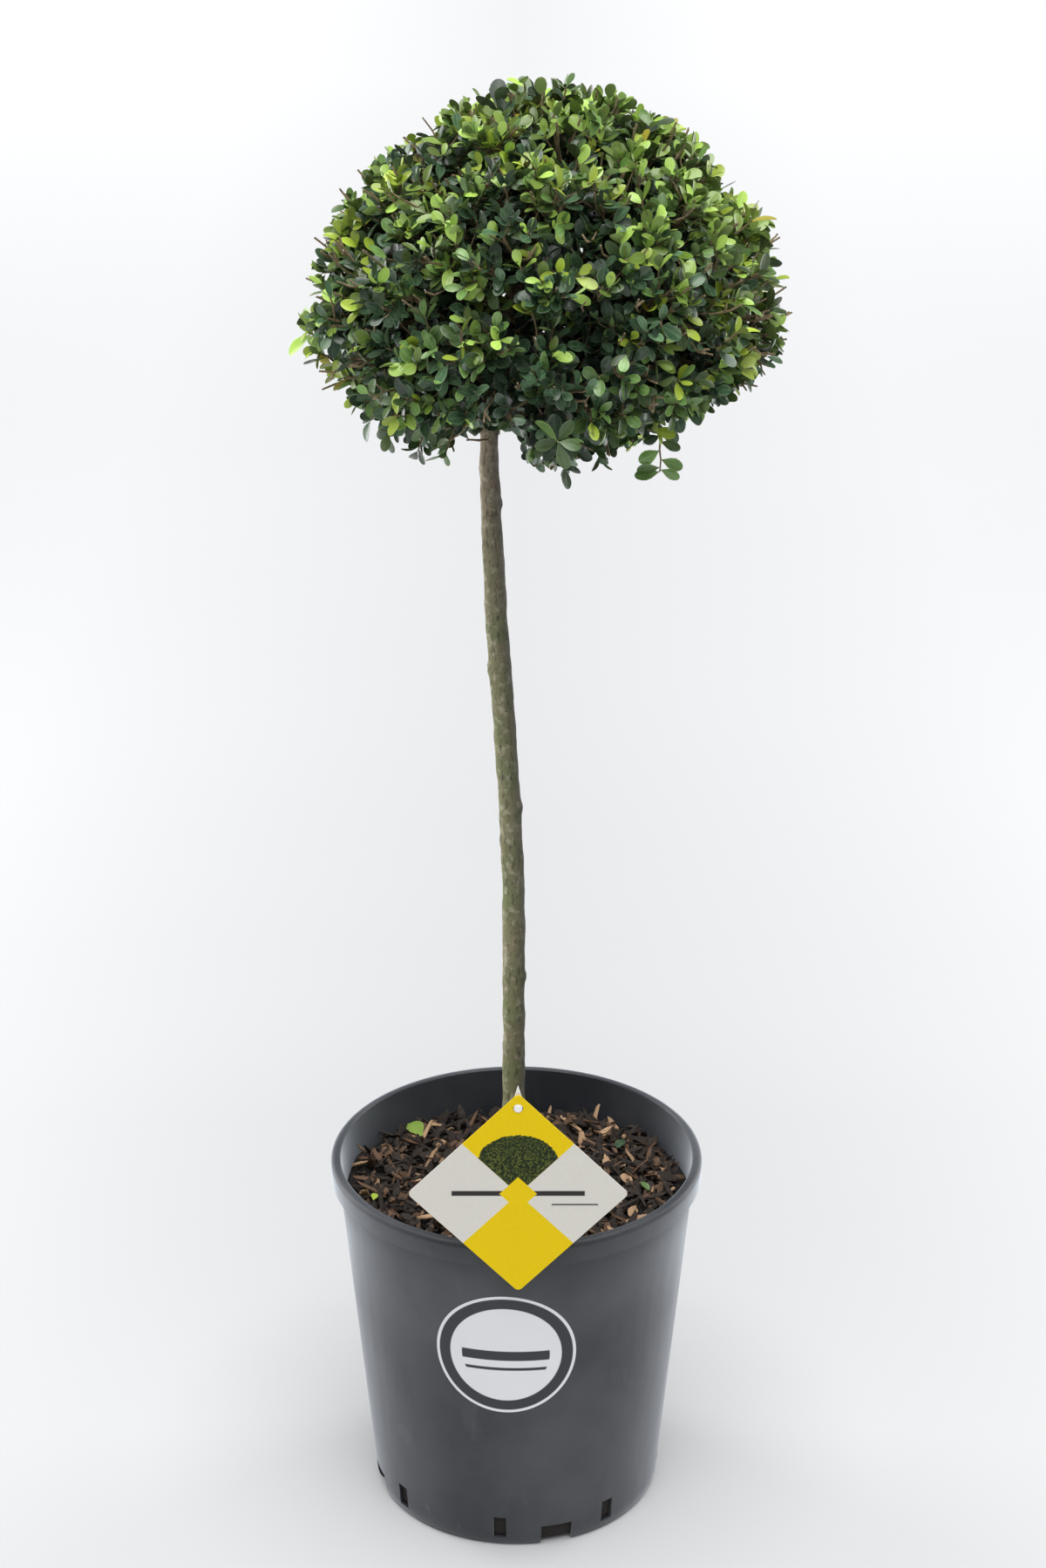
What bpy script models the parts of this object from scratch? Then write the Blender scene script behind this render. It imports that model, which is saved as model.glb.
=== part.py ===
"""A lollipop topiary: a clipped ball of small leaves on a bare stem, in a round nursery pot.

Metres, +Z up. The origin is the middle of the pot's flat underside, and -Y is the front,
where the plant label hangs over the rim. The stem's head carries two rings of boughs. Each
bough ends where it enters its own mass of foliage, and the masses share out the ball between
them, with a narrow gap from one to the next. Touching pieces stay 0.3 mm apart.
"""

import math
import random
from dataclasses import dataclass

import bmesh
import bpy
import numpy as np
from mathutils import Matrix, Vector, noise
from mathutils.bvhtree import BVHTree

GAP = 0.0003
WELD = 0.000001
TURN_MERGE = 0.00005

# Pot: a thin wall turned out into a folded collar at the rim.
RIM_RADIUS = 0.150
POT_HEIGHT = 0.300
WALL = 0.0025
COLLAR_HEIGHT = 0.018
COLLAR_DRAFT = 0.0007
RIM_ROUNDING = 0.005
RIM_EDGE = 0.001
NECK_RADIUS = 0.143
FOOT_RADIUS = 0.118
FOOT_HEIGHT = 0.018
BASE_RADIUS = 0.112
POT_STEPS = 40
ARC_STEPS = 3

# Drain openings: tall slots through the foot of the wall, wide notches under its corner.
SLOT_COUNT = 8
SLOT_WIDTH = 0.0105
SLOT_LOW = 0.009
SLOT_HIGH = 0.029
SLOT_START = math.radians(-96.6)
NOTCH_COUNT = 4
NOTCH_WIDTH = 0.026
NOTCH_HEIGHT = 0.019
NOTCH_START = math.radians(-73.8)
CUT_DEPTH = 0.030

# Compost, heaped a little towards both sides of the stem.
SOIL_LEVEL = 0.262
SOIL_STEPS = 20
SOIL_RINGS = (0.022, 0.045, 0.070, 0.095, 0.118)
SOIL_LUMP = 0.006
SOIL_LUMPS_A_METRE = 28
SOIL_SLICE = 3.0
SOIL_HEAP = 0.007
SOIL_BACK_SHARE = 0.6

# Stem: upright from the compost, then leaning to the left, and back under the ball.
STEM_FOOT_X = -0.002
STEM_LEAN = 0.0175
LEAN_FROM, LEAN_TO = 0.50, 0.90
HEAD_RETURN = 0.022
RETURN_FROM, RETURN_TO = 0.90, 1.06
STEM_SWAY = 0.003
STEM_TIP = 1.045
STEM_SIZES = ((0.262, 0.0090), (0.770, 0.0083), (0.885, 0.0070), (STEM_TIP, 0.0042))
FLARE = 0.0035
FLARE_FALL = 0.012
FLARE_RISES = (0.004, 0.010, 0.020, 0.035)
STEM_SPACING = 0.060
STEM_POINTS = 23
STEM_ROUNDNESS = 3

# Ball: round above its widest level, flatter and squarer below it.
BALL = Vector((0.021, 0.0, 1.000))
BALL_RADIUS = 0.173
BALL_RISE = 0.162
BALL_DROP = 0.106
UPPER_POWER = 2.0
LOWER_POWER = 2.8
LUMP_SHARE = 0.035
LUMP_FINENESS = 2.3
LUMP_SLICE = Vector((7.0, 2.0, 5.0))
# Hollows in its outline: the way to each, how deep and how wide it is as shares of the
# ball, and how many times longer it is from front to back than across.
DENTS = (
    (Vector((-0.60, -0.25, 0.76)), 0.14, 0.29, 2.0),
    (Vector((0.82, -0.10, -0.57)), 0.24, 0.27, 2.2),
    (Vector((-0.87, -0.10, -0.49)), 0.08, 0.22, 2.0),
    (Vector((-0.29, -0.79, -0.54)), 0.20, 0.24, 1.0),
)

# Masses of foliage: the middles of two rings and of the crown's top.
LOWER_MASSES, LOWER_RING, LOWER_MIDDLE = 5, 0.104, 0.962
LOWER_TURN = math.radians(-90)
UPPER_MASSES, UPPER_RING, UPPER_MIDDLE = 3, 0.082, 1.082
UPPER_TURN = math.radians(-50)
TOP_MIDDLE = 1.115
MASS_GAP = 0.002
STEM_ROOM = 0.031
STEM_CLEARING = 0.0465
BOUGH_SHARE = 0.46
TOP_ROOM = 0.014
CORE_LEVEL = 0.80
CORE_DETAIL = 2
LEAF_LEVEL = 1.03
REACH_HALVINGS = 36

# Boughs
LOWER_FORK = 0.922
LOWER_STEP = 0.009
UPPER_FORK = 1.004
UPPER_STEP = 0.011
BOUGH_ROOT_SHARE = 0.68
BOUGH_END = 0.0028
BOUGH_BOW = 0.007
BOUGH_POINTS = 7
BOUGH_ROUNDNESS = 2
BOUGH_REST = 0.010
STEMLET = 0.030
STEMLET_TAPER = 0.8
STEMLET_SIDES = 6

# Shoots: each starts inside the core, ends just under the ball's surface and forks once.
SHOOTS = 90
SHOOT_LEVEL = 0.94
SHOOT_LEVEL_RANGE = (-0.03, 0.015)
SHOOT_TURN = 0.12
SHOOT_SUNK = 0.86
SHOOT_LEAST = 0.020
SHOOT_ROOT, SHOOT_END = 0.0032, 0.0018
FORK_RANGE = (0.50, 0.62)
TWIG_LENGTH = 0.026
TWIG_SPREAD = math.radians(50)
TWIG_ROOT, TWIG_END = 0.0013, 0.0011
TWIG_SIDES = 3
TWIG_SPARE = 0.003
TIP_SPARE = 0.006
HOMING_TRIES = 8
HOMING_SHARE = 0.12
GOLDEN_ANGLE = math.pi * (3 - math.sqrt(5))
SEED = 41

# Leaves, larger than life so that a few hundred close the ball. The outline's corners are
# shares of the length and of half the width. A spray's leaves are each given by the distance
# back from the twig's tip, the angle off the twig in radians, and the range of sizes.
LEAF_LENGTH = 0.040
LEAF_WIDTH = 0.024
LEAF_THICKNESS = 0.0018
LEAF_OUTLINE = ((0.0, 0.0), (0.46, 1.0), (0.92, 0.52), (0.92, -0.52), (0.46, -1.0))
LEAF_CREST = 0.36
LEAF_ABOVE, LEAF_BELOW = 0.9, 0.1
LEAF_SINK = 0.0004
LEAF_WIDENING = math.radians(2)
LEAF_LOOK_UP = 0.35
LEAF_LOOK_OUT = 0.3
LEAF_TRIES = 30
SMALL_LEAF = 0.78
TWIG_SPRAY = ((0.003, 0.80, (0.84, 1.00)), (0.014, 1.15, (0.78, 0.95)))
SHOOT_SPRAY = (
    (0.003, 0.85, (0.86, 1.04)),
    (0.010, 1.20, (0.84, 1.00)),
    (0.022, 1.30, (0.80, 1.00)),
)

# Sprigs that the shears missed, by the points that their tips reach.
STRAY_LEAF_SHARE = 0.8
STRAY_SPARE = 0.01
STRAY_TIPS = (
    Vector((0.036, 0.000, 1.172)),
    Vector((-0.163, -0.010, 0.994)),
    Vector((0.198, -0.010, 1.000)),
    Vector((0.106, -0.040, 0.880)),
    Vector((0.044, -0.075, 0.876)),
    Vector((-0.100, 0.020, 0.888)),
)

# Label: a square card hung by one corner from a stick planted inside the rim.
CARD_SIDE = 0.120
CARD_THICKNESS = 0.0010
CARD_CORNER = 0.004
CARD_CENTRE = Vector((0.0016, -0.1496, 0.3475))
CARD_LEAN = math.radians(2)
HOLE_RADIUS = 0.0040
HOLE_DROP = 0.0125
HOLE_STEPS = 16
STICK_WIDTH = 0.0066
STICK_THICKNESS = 0.0016
STICK_TOP = 0.4380
STICK_FOOT = 0.2150
STICK_POINT = 0.012
STICK_LEAN = math.radians(5)
STICK_BEHIND = 0.0032
PEG_RADIUS = 0.0032
PEG_PROUD = 0.001
PEG_STEPS = 12


def clear_scene():
    """Takes every object out of the scene."""
    for old in list(bpy.data.objects):
        bpy.data.objects.remove(old)


def new_collection(name):
    """A collection linked to the scene."""
    collection = bpy.data.collections.new(name)
    bpy.context.scene.collection.children.link(collection)
    return collection


def finish_material(name, color, roughness):
    """A plain surface that isn't metal."""
    material = bpy.data.materials.new(name)
    material.use_nodes = True
    shader = material.node_tree.nodes["Principled BSDF"]
    shader.inputs["Base Color"].default_value = (*color, 1.0)
    shader.inputs["Roughness"].default_value = roughness
    shader.inputs["Metallic"].default_value = 0.0
    return material


def add_object(name, mesh, collection, material=None):
    """An object of the mesh in the collection, with its material."""
    obj = bpy.data.objects.new(name, mesh)
    collection.objects.link(obj)
    if material:
        mesh.materials.append(material)
    return obj


def mesh_from(name, form):
    """The bmesh as a mesh datablock; the bmesh is freed."""
    mesh = bpy.data.meshes.new(name)
    form.to_mesh(mesh)
    form.free()
    return mesh


def as_cutter(obj):
    """Marks a helper that is not a part of its own."""
    obj.hide_render = True
    obj.display_type = "WIRE"
    return obj


def evaluated_mesh(obj):
    """The object's mesh with its modifiers and bevels worked out, and its doubles welded."""
    graph = bpy.context.evaluated_depsgraph_get()
    mesh = bpy.data.meshes.new_from_object(obj.evaluated_get(graph))
    form = bmesh.new()
    form.from_mesh(mesh)
    bmesh.ops.remove_doubles(form, verts=form.verts, dist=WELD)
    bmesh.ops.recalc_face_normals(form, faces=form.faces)
    form.to_mesh(mesh)
    form.free()
    return mesh


def turned(name, profile, steps, collection, material):
    """A profile of (radius, height) points turned about Z, live as a Screw modifier."""
    form = bmesh.new()
    points = [form.verts.new((radius, 0.0, height)) for radius, height in profile]
    for start, end in zip(points, points[1:]):
        form.edges.new((start, end))
    obj = add_object(name, mesh_from(name, form), collection, material)
    screw = obj.modifiers.new("turn", "SCREW")
    screw.steps = steps
    screw.render_steps = steps
    screw.use_merge_vertices = True
    screw.merge_threshold = TURN_MERGE
    return obj


def tube(name, path, radii, resolution, collection, material=None):
    """A tapering round limb along the path, with flat ends, as a mesh."""
    curve = bpy.data.curves.new(name, "CURVE")
    curve.dimensions = "3D"
    curve.bevel_depth = 1.0
    curve.bevel_resolution = resolution
    curve.use_fill_caps = True
    spline = curve.splines.new("POLY")
    spline.points.add(len(path) - 1)
    for point, place, radius in zip(spline.points, path, radii):
        point.co = (*place, 1.0)
        point.radius = radius
    guide = bpy.data.objects.new(name + "_guide", curve)
    collection.objects.link(guide)
    mesh = evaluated_mesh(guide)
    obj = add_object(name, mesh, collection, material)
    obj.matrix_world = guide.matrix_world
    bpy.data.objects.remove(guide)
    mesh.shade_smooth()
    return obj


def smooth_step(share):
    """Eases from 0 to 1 as the share does."""
    share = min(max(share, 0.0), 1.0)
    return share * share * (3 - 2 * share)


# ---------------------------------------------------------------- pot and compost


def wall_radius(height):
    """The outer radius of the pot's straight wall at a height above its foot."""
    share = (height - FOOT_HEIGHT) / (POT_HEIGHT - COLLAR_HEIGHT - FOOT_HEIGHT)
    return FOOT_RADIUS + share * (NECK_RADIUS - FOOT_RADIUS)


def foot_arc(inset):
    """The rounded foot from the wall down to the base, drawn inside the outer one by inset."""
    return [
        (
            BASE_RADIUS - inset + (FOOT_RADIUS - BASE_RADIUS) * math.cos(turn),
            FOOT_HEIGHT + (inset - FOOT_HEIGHT) * math.sin(turn),
        )
        for turn in np.linspace(0, math.pi / 2, ARC_STEPS + 1)
    ]


def rim_arc():
    """The rounded top of the rim, from its flat part out to the collar's outer side."""
    return [
        (
            RIM_RADIUS - RIM_ROUNDING * (1 - math.sin(turn)),
            POT_HEIGHT - RIM_ROUNDING * (1 - math.cos(turn)),
        )
        for turn in np.linspace(0, math.pi / 2, ARC_STEPS + 1)
    ]


def pot_profile():
    """Up the inside from the middle of the floor, over the folded collar and down the outside."""
    collar_foot = POT_HEIGHT - COLLAR_HEIGHT
    under_rim = POT_HEIGHT - WALL
    neck = wall_radius(under_rim)
    lip = (neck - WALL + RIM_EDGE, POT_HEIGHT)
    inside = [(0.0, WALL)] + foot_arc(WALL)[::-1] + [(neck - WALL, POT_HEIGHT - RIM_EDGE), lip]
    collar = rim_arc() + [
        (RIM_RADIUS - COLLAR_DRAFT, collar_foot),
        (RIM_RADIUS - COLLAR_DRAFT - WALL, collar_foot),
        (RIM_RADIUS - WALL, under_rim - RIM_ROUNDING / 2),
        (neck, under_rim - RIM_ROUNDING / 2),
    ]
    return inside + collar + foot_arc(0.0) + [(0.0, 0.0)]


def box_cutter(name, low, high, width, turn, collection):
    """A box through the foot of the wall at one turn about the pot's axis."""
    form = bmesh.new()
    bmesh.ops.create_cube(form, size=1.0)
    size = Matrix.Diagonal((CUT_DEPTH, width, high - low, 1.0))
    place = Matrix.Translation((FOOT_RADIUS, 0.0, (low + high) / 2))
    form.transform(Matrix.Rotation(turn, 4, "Z") @ place @ size)
    return as_cutter(add_object(name, mesh_from(name, form), collection))


def build_pot(parts, cutters, material):
    """The pot's shell, with the slots and notches cut through the foot of its wall."""
    pot = turned("pot", pot_profile(), POT_STEPS, parts, material)
    openings = bpy.data.collections.new("drain_cutters")
    cutters.children.link(openings)
    for index in range(SLOT_COUNT):
        turn = SLOT_START + index * math.tau / SLOT_COUNT
        box_cutter(f"slot_cutter_{index}", SLOT_LOW, SLOT_HIGH, SLOT_WIDTH, turn, openings)
    for index in range(NOTCH_COUNT):
        turn = NOTCH_START + index * math.tau / NOTCH_COUNT
        box_cutter(f"notch_cutter_{index}", -FOOT_HEIGHT, NOTCH_HEIGHT, NOTCH_WIDTH, turn, openings)
    drain = pot.modifiers.new("drain", "BOOLEAN")
    drain.operation = "DIFFERENCE"
    drain.operand_type = "COLLECTION"
    drain.collection = openings


def soil_height(x, y):
    """The compost's surface: level round the stem's foot, lumpy and heaped to the sides."""
    away = smooth_step((math.hypot(x, y) - SOIL_RINGS[0]) / SOIL_RINGS[1])
    lump = noise.noise(Vector((x * SOIL_LUMPS_A_METRE, y * SOIL_LUMPS_A_METRE, SOIL_SLICE)))
    heap = (abs(x) - SOIL_BACK_SHARE * max(y, 0.0)) / NECK_RADIUS
    return SOIL_LEVEL + away * (SOIL_LUMP * lump + SOIL_HEAP * heap)


def build_soil(parts, cutters, material):
    """A solid that fills the pot a gap clear of it, with a lumpy top and the stick's pocket."""
    clear = WALL + GAP
    edge = wall_radius(SOIL_LEVEL) - clear
    top = [(radius, SOIL_LEVEL) for radius in (0.0, *SOIL_RINGS, edge)]
    profile = top + foot_arc(clear) + [(0.0, clear)]
    guide = turned("soil_guide", profile, SOIL_STEPS, cutters, None)
    mesh = evaluated_mesh(guide)
    bpy.data.objects.remove(guide)
    for vertex in mesh.vertices:
        if abs(vertex.co.z - SOIL_LEVEL) < TURN_MERGE:
            height = soil_height(vertex.co.x, vertex.co.y)
            if math.hypot(vertex.co.x, vertex.co.y) > edge - WALL:
                inward = (wall_radius(height) - clear) / edge
                vertex.co.x *= min(inward, 1.0)
                vertex.co.y *= min(inward, 1.0)
            vertex.co.z = height
    soil = add_object("soil", mesh, parts, material)
    pocket = as_cutter(add_object("stick_pocket", stick_mesh("stick_pocket", GAP), cutters))
    planted = soil.modifiers.new("stick_pocket", "BOOLEAN")
    planted.operation = "DIFFERENCE"
    planted.object = pocket


# ---------------------------------------------------------------- stem and boughs


def stem_point(height):
    """The middle of the stem at a height."""
    lean = STEM_LEAN * smooth_step((height - LEAN_FROM) / (LEAN_TO - LEAN_FROM))
    back = HEAD_RETURN * smooth_step((height - RETURN_FROM) / (RETURN_TO - RETURN_FROM))
    sway = STEM_SWAY * math.sin(math.pi * smooth_step((height - SOIL_LEVEL) / (LEAN_TO - SOIL_LEVEL)))
    return Vector((STEM_FOOT_X - lean + back, sway, height))


def stem_radius(height):
    """The stem's radius at a height, with the root flare at its foot."""
    heights, radii = zip(*STEM_SIZES)
    flare = FLARE * math.exp(-(height - SOIL_LEVEL) / FLARE_FALL)
    return float(np.interp(height, heights, radii)) + flare


def build_stem(parts, cutters, material):
    """The stem; what it returns is a cutter for the boughs' roots, fatter by the gap."""
    foot = SOIL_LEVEL + GAP
    heights = [foot + rise for rise in FLARE_RISES]
    heights += list(np.linspace(foot + STEM_SPACING, STEM_TIP, STEM_POINTS - len(heights)))
    path = [Vector((STEM_FOOT_X, 0.0, foot))] + [stem_point(height) for height in heights]
    radii = [stem_radius(foot)] + [stem_radius(height) for height in heights]
    tube("trunk", path, radii, STEM_ROUNDNESS, parts, material)
    fatter = [radius + GAP for radius in radii]
    return as_cutter(tube("trunk_cutter", path, fatter, STEM_ROUNDNESS, cutters))


def bough_path(fork, entry):
    """The bowed line of a bough, from inside the stem to where it enters its mass."""
    middle = (fork + entry) / 2 + Vector((0.0, 0.0, BOUGH_BOW))
    shares = np.linspace(0, 1, BOUGH_POINTS)
    return [fork.lerp(middle, share).lerp(middle.lerp(entry, share), share) for share in shares]


def build_bough(mass, stem_cutter, parts, material):
    """One tapering limb from inside the stem out to the mass, cut off clear of the stem."""
    path = bough_path(mass.fork, mass.entry)
    radii = np.linspace(BOUGH_ROOT_SHARE * stem_radius(mass.fork.z), BOUGH_END, BOUGH_POINTS)
    bough = tube("bough_" + mass.name, path, radii, BOUGH_ROUNDNESS, parts, material)
    root = bough.modifiers.new("clear_of_trunk", "BOOLEAN")
    root.operation = "DIFFERENCE"
    root.object = stem_cutter


# ---------------------------------------------------------------- the ball and its masses


def dent_depth(way):
    """How much the hollows take off the ball along way, as a share of it."""
    depth = 0.0
    for middle, share, width, length in DENTS:
        off = way - middle.normalized()
        spread = (off.x**2 + (off.y / length) ** 2 + off.z**2) / width**2
        depth += share * math.exp(-spread)
    return depth


def ball_level(point):
    """0 at the ball's middle and 1 on its clipped surface."""
    away = point - BALL
    if away.length < WELD:
        return 0.0
    rise, power = (BALL_RISE, UPPER_POWER) if away.z > 0 else (BALL_DROP, LOWER_POWER)
    flat = math.hypot(away.x, away.y) / BALL_RADIUS
    level = (flat**power + (abs(away.z) / rise) ** power) ** (1 / power)
    way = away.normalized()
    lump = LUMP_SHARE * noise.noise(way * LUMP_FINENESS + LUMP_SLICE)
    return level / (1 + lump - dent_depth(way))


def reach_to_level(start, way, level):
    """How far from start along way the ball's level is met."""
    low, high = 0.0, 3 * BALL_RADIUS
    for _ in range(REACH_HALVINGS):
        middle = (low + high) / 2
        if ball_level(start + way * middle) < level:
            low = middle
        else:
            high = middle
    return low


@dataclass
class Mass:
    """One mass's share of the ball: all points nearer its middle than another's, clear of the stem."""

    name: str
    middle: Vector
    fork: Vector
    planes: list
    entry: Vector = None
    arrival: Vector = None

    def holds(self, point, spare=0.0):
        """Whether the point is in the mass's share, with some room to spare."""
        return all(normal.dot(point) <= limit - spare for normal, limit in self.planes)

    def reach(self, way, level):
        """How far the mass goes from its middle along way, inside the given level of the ball."""
        far = reach_to_level(self.middle, way, level)
        for normal, limit in self.planes:
            closing = normal.dot(way)
            if closing > WELD:
                far = min(far, (limit - normal.dot(self.middle)) / closing)
        return far


def ring(count, radius, height, turn):
    """Middles evenly spaced about the ball's axis."""
    for index in range(count):
        angle = turn + index * math.tau / count
        yield Vector((BALL.x + radius * math.cos(angle), BALL.y + radius * math.sin(angle), height))


def plan_masses():
    """The masses, with the planes that part each from its neighbours and from the stem."""
    planned = []
    for index, middle in enumerate(ring(LOWER_MASSES, LOWER_RING, LOWER_MIDDLE, LOWER_TURN)):
        fork = stem_point(LOWER_FORK + LOWER_STEP * (index * 2 % LOWER_MASSES))
        planned.append((f"lower_{index + 1}", middle, fork))
    for index, middle in enumerate(ring(UPPER_MASSES, UPPER_RING, UPPER_MIDDLE, UPPER_TURN)):
        planned.append((f"upper_{index + 1}", middle, stem_point(UPPER_FORK + UPPER_STEP * index)))
    top = Vector((BALL.x, BALL.y, TOP_MIDDLE))
    planned.append(("top", top, stem_point(STEM_TIP)))
    masses = []
    for name, middle, fork in planned:
        planes = []
        for _, other, _ in planned:
            if other is not middle:
                normal = (other - middle).normalized()
                planes.append((normal, normal.dot((middle + other) / 2) - MASS_GAP / 2))
        if name == "top":
            inward = (fork - middle).normalized()
            planes.append((inward, inward.dot(fork) - TOP_ROOM))
        else:
            beside = stem_point(min(middle.z, STEM_TIP))
            inward = Vector((beside.x - middle.x, beside.y - middle.y, 0.0))
            room = max(STEM_ROOM, BOUGH_SHARE * inward.length)
            inward.normalize()
            planes.append((inward, inward.dot(beside) - room))
        masses.append(Mass(name, middle, fork, planes))
    for mass in masses[:-1]:
        home = (mass.fork - mass.middle).normalized()
        mass.entry = mass.middle + home * (mass.reach(home, CORE_LEVEL) + BOUGH_REST)
        path = bough_path(mass.fork, mass.entry)
        mass.arrival = (path[-1] - path[-2]).normalized()
    masses[-1].entry = stem_point(STEM_TIP)
    masses[-1].arrival = (stem_point(STEM_TIP) - stem_point(STEM_TIP - STEM_SPACING / 2)).normalized()
    return masses


def core_form(mass):
    """The mass's dense inside: an icosphere drawn out to the mass's own limits."""
    form = bmesh.new()
    bmesh.ops.create_icosphere(form, subdivisions=CORE_DETAIL, radius=1.0)
    for vertex in form.verts:
        way = vertex.co.normalized()
        vertex.co = mass.middle + way * mass.reach(way, CORE_LEVEL)
    return form


def facing(way, towards):
    """A rotation that turns +X to way, with +Z as near to towards as it can be."""
    way = way.normalized()
    across = towards.cross(way)
    if across.length < WELD:
        across = way.orthogonal()
    across.normalize()
    up = way.cross(across)
    return Matrix((way, across, up)).transposed().to_4x4()


def stick_form(start, end, root, tip, sides):
    """A straight tapering twig with the given number of sides."""
    form = bmesh.new()
    length = (end - start).length
    bmesh.ops.create_cone(
        form, cap_ends=True, cap_tris=False, segments=sides, radius1=root, radius2=tip, depth=length
    )
    way = end - start
    turn = way.to_track_quat("Z", "Y").to_matrix().to_4x4()
    form.transform(Matrix.Translation((start + end) / 2) @ turn)
    return form


def leaf_corner(side):
    """One corner of a leaf's edge, counted from its root round to the other side."""
    along, across = LEAF_OUTLINE[side]
    return Vector((along * LEAF_LENGTH, across * LEAF_WIDTH / 2, 0.0))


def leaf_form(root, way, towards, size):
    """A spatulate leaf: a flattened solid of ten faces, slightly cupped, its root at root."""
    form = bmesh.new()
    corners = len(LEAF_OUTLINE)
    bmesh.ops.create_uvsphere(form, u_segments=corners, v_segments=2, radius=1.0)
    for vertex in form.verts:
        if abs(vertex.co.z) > 0.5:
            rise = LEAF_THICKNESS * (LEAF_ABOVE if vertex.co.z > 0 else -LEAF_BELOW)
            vertex.co = Vector((LEAF_CREST * LEAF_LENGTH, 0.0, rise))
        else:
            side = round(math.atan2(vertex.co.y, vertex.co.x) * corners / math.tau) % corners
            vertex.co = leaf_corner(side)
    place = Matrix.Translation(root - way.normalized() * LEAF_SINK)
    form.transform(place @ facing(way, towards) @ Matrix.Scale(size, 4))
    bmesh.ops.recalc_face_normals(form, faces=form.faces)
    return form


class Foliage:
    """Grows one mass: a stem, shoots that fork once, and leaves, all kept in the mass's space."""

    def __init__(self, mass, draw):
        self.mass = mass
        self.draw = draw
        self.forms = []
        self.leaves = []
        self.twigs = []
        self.core = BVHTree.FromBMesh(core_form(mass))

    def fits(self, form, level, own_twig):
        """Whether a leaf keeps to the mass's space and touches nothing but the twig it grows on."""
        for vertex in form.verts:
            if not self.mass.holds(vertex.co) or ball_level(vertex.co) > level:
                return False
        tree = BVHTree.FromBMesh(form)
        others = [twig for twig in self.twigs if twig is not own_twig]
        return not any(tree.overlap(other) for other in [self.core, *self.leaves, *others])

    def add_twig(self, start, end, root, tip):
        """A twig, which leaves of other twigs keep clear of."""
        form = stick_form(start, end, root, tip, TWIG_SIDES)
        tree = BVHTree.FromBMesh(form)
        self.forms.append(form)
        self.twigs.append(tree)
        return tree

    def add_stem(self):
        """The mass's stem, which carries on from its bough's tip a gap clear of it."""
        start = self.mass.entry + self.mass.arrival * GAP
        end = start + self.mass.arrival * STEMLET
        tip = BOUGH_END * STEMLET_TAPER
        self.forms.append(stick_form(start, end, BOUGH_END, tip, STEMLET_SIDES))

    def add_spray(self, twig, tip, way, spray, level):
        """The leaves of one twig, each set back from its tip."""
        for back, spread, sizes in spray:
            self.add_leaf(twig, tip - way * back, way, self.draw.uniform(*sizes), spread, level)

    def add_leaf(self, twig, root, along, size, spread, level):
        """One leaf, turned about its twig until it fits, or none."""
        outward = (root - BALL).normalized()
        first = self.draw.uniform(0, math.tau)
        side = along.orthogonal().normalized()
        for attempt in range(LEAF_TRIES):
            turned_side = Matrix.Rotation(first + attempt * GOLDEN_ANGLE, 3, along) @ side
            wide = spread + LEAF_WIDENING * attempt
            way = along * math.cos(wide) + turned_side * math.sin(wide)
            towards = outward + Vector((0.0, 0.0, LEAF_LOOK_UP)) + LEAF_LOOK_OUT * turned_side
            fitted = size * (1.0 if attempt < LEAF_TRIES / 2 else SMALL_LEAF)
            form = leaf_form(root, way, towards.normalized(), fitted)
            if self.fits(form, level, twig):
                self.forms.append(form)
                self.leaves.append(BVHTree.FromBMesh(form))
                return
            form.free()

    def add_shoot(self, tip, level):
        """A shoot from the core to tip, its one side twig, and their leaves."""
        way = (tip - self.mass.middle).normalized()
        length = (tip - self.mass.middle).length
        sunk = min(self.mass.reach(way, CORE_LEVEL) * SHOOT_SUNK, length - SHOOT_LEAST)
        start = self.mass.middle + way * sunk
        main = self.add_twig(start, tip, SHOOT_ROOT, SHOOT_END)
        shoot = tip - start
        side = way.orthogonal().normalized()
        for _ in range(LEAF_TRIES):
            turned_side = Matrix.Rotation(self.draw.uniform(0, math.tau), 3, way) @ side
            fork = start + shoot * self.draw.uniform(*FORK_RANGE)
            twig_way = way * math.cos(TWIG_SPREAD) + turned_side * math.sin(TWIG_SPREAD)
            end = fork + twig_way * TWIG_LENGTH
            if self.mass.holds(end, TWIG_SPARE) and ball_level(end) < 1.0:
                twig = self.add_twig(fork, end, TWIG_ROOT, TWIG_END)
                self.add_spray(twig, end, twig_way, TWIG_SPRAY, level)
                break
        self.add_spray(main, tip, way, SHOOT_SPRAY, level)

    def join(self, parts, material):
        """All of it as one closed body: a union, with its largest shell kept."""
        name = "foliage_" + self.mass.name
        pieces = bpy.data.collections.new(name + "_pieces")
        bpy.context.scene.collection.children.link(pieces)
        for index, form in enumerate(self.forms):
            piece_name = f"{name}_piece_{index}"
            add_object(piece_name, mesh_from(piece_name, form), pieces)
        core = add_object(name + "_core", mesh_from(name, core_form(self.mass)), parts)
        union = core.modifiers.new("join", "BOOLEAN")
        union.operation = "UNION"
        union.operand_type = "COLLECTION"
        union.collection = pieces
        union.solver = "EXACT"
        mesh = largest_shell(evaluated_mesh(core))
        for obj in [core, *pieces.objects]:
            bpy.data.objects.remove(obj)
        bpy.data.collections.remove(pieces)
        add_object(name, mesh, parts, material)


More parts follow.
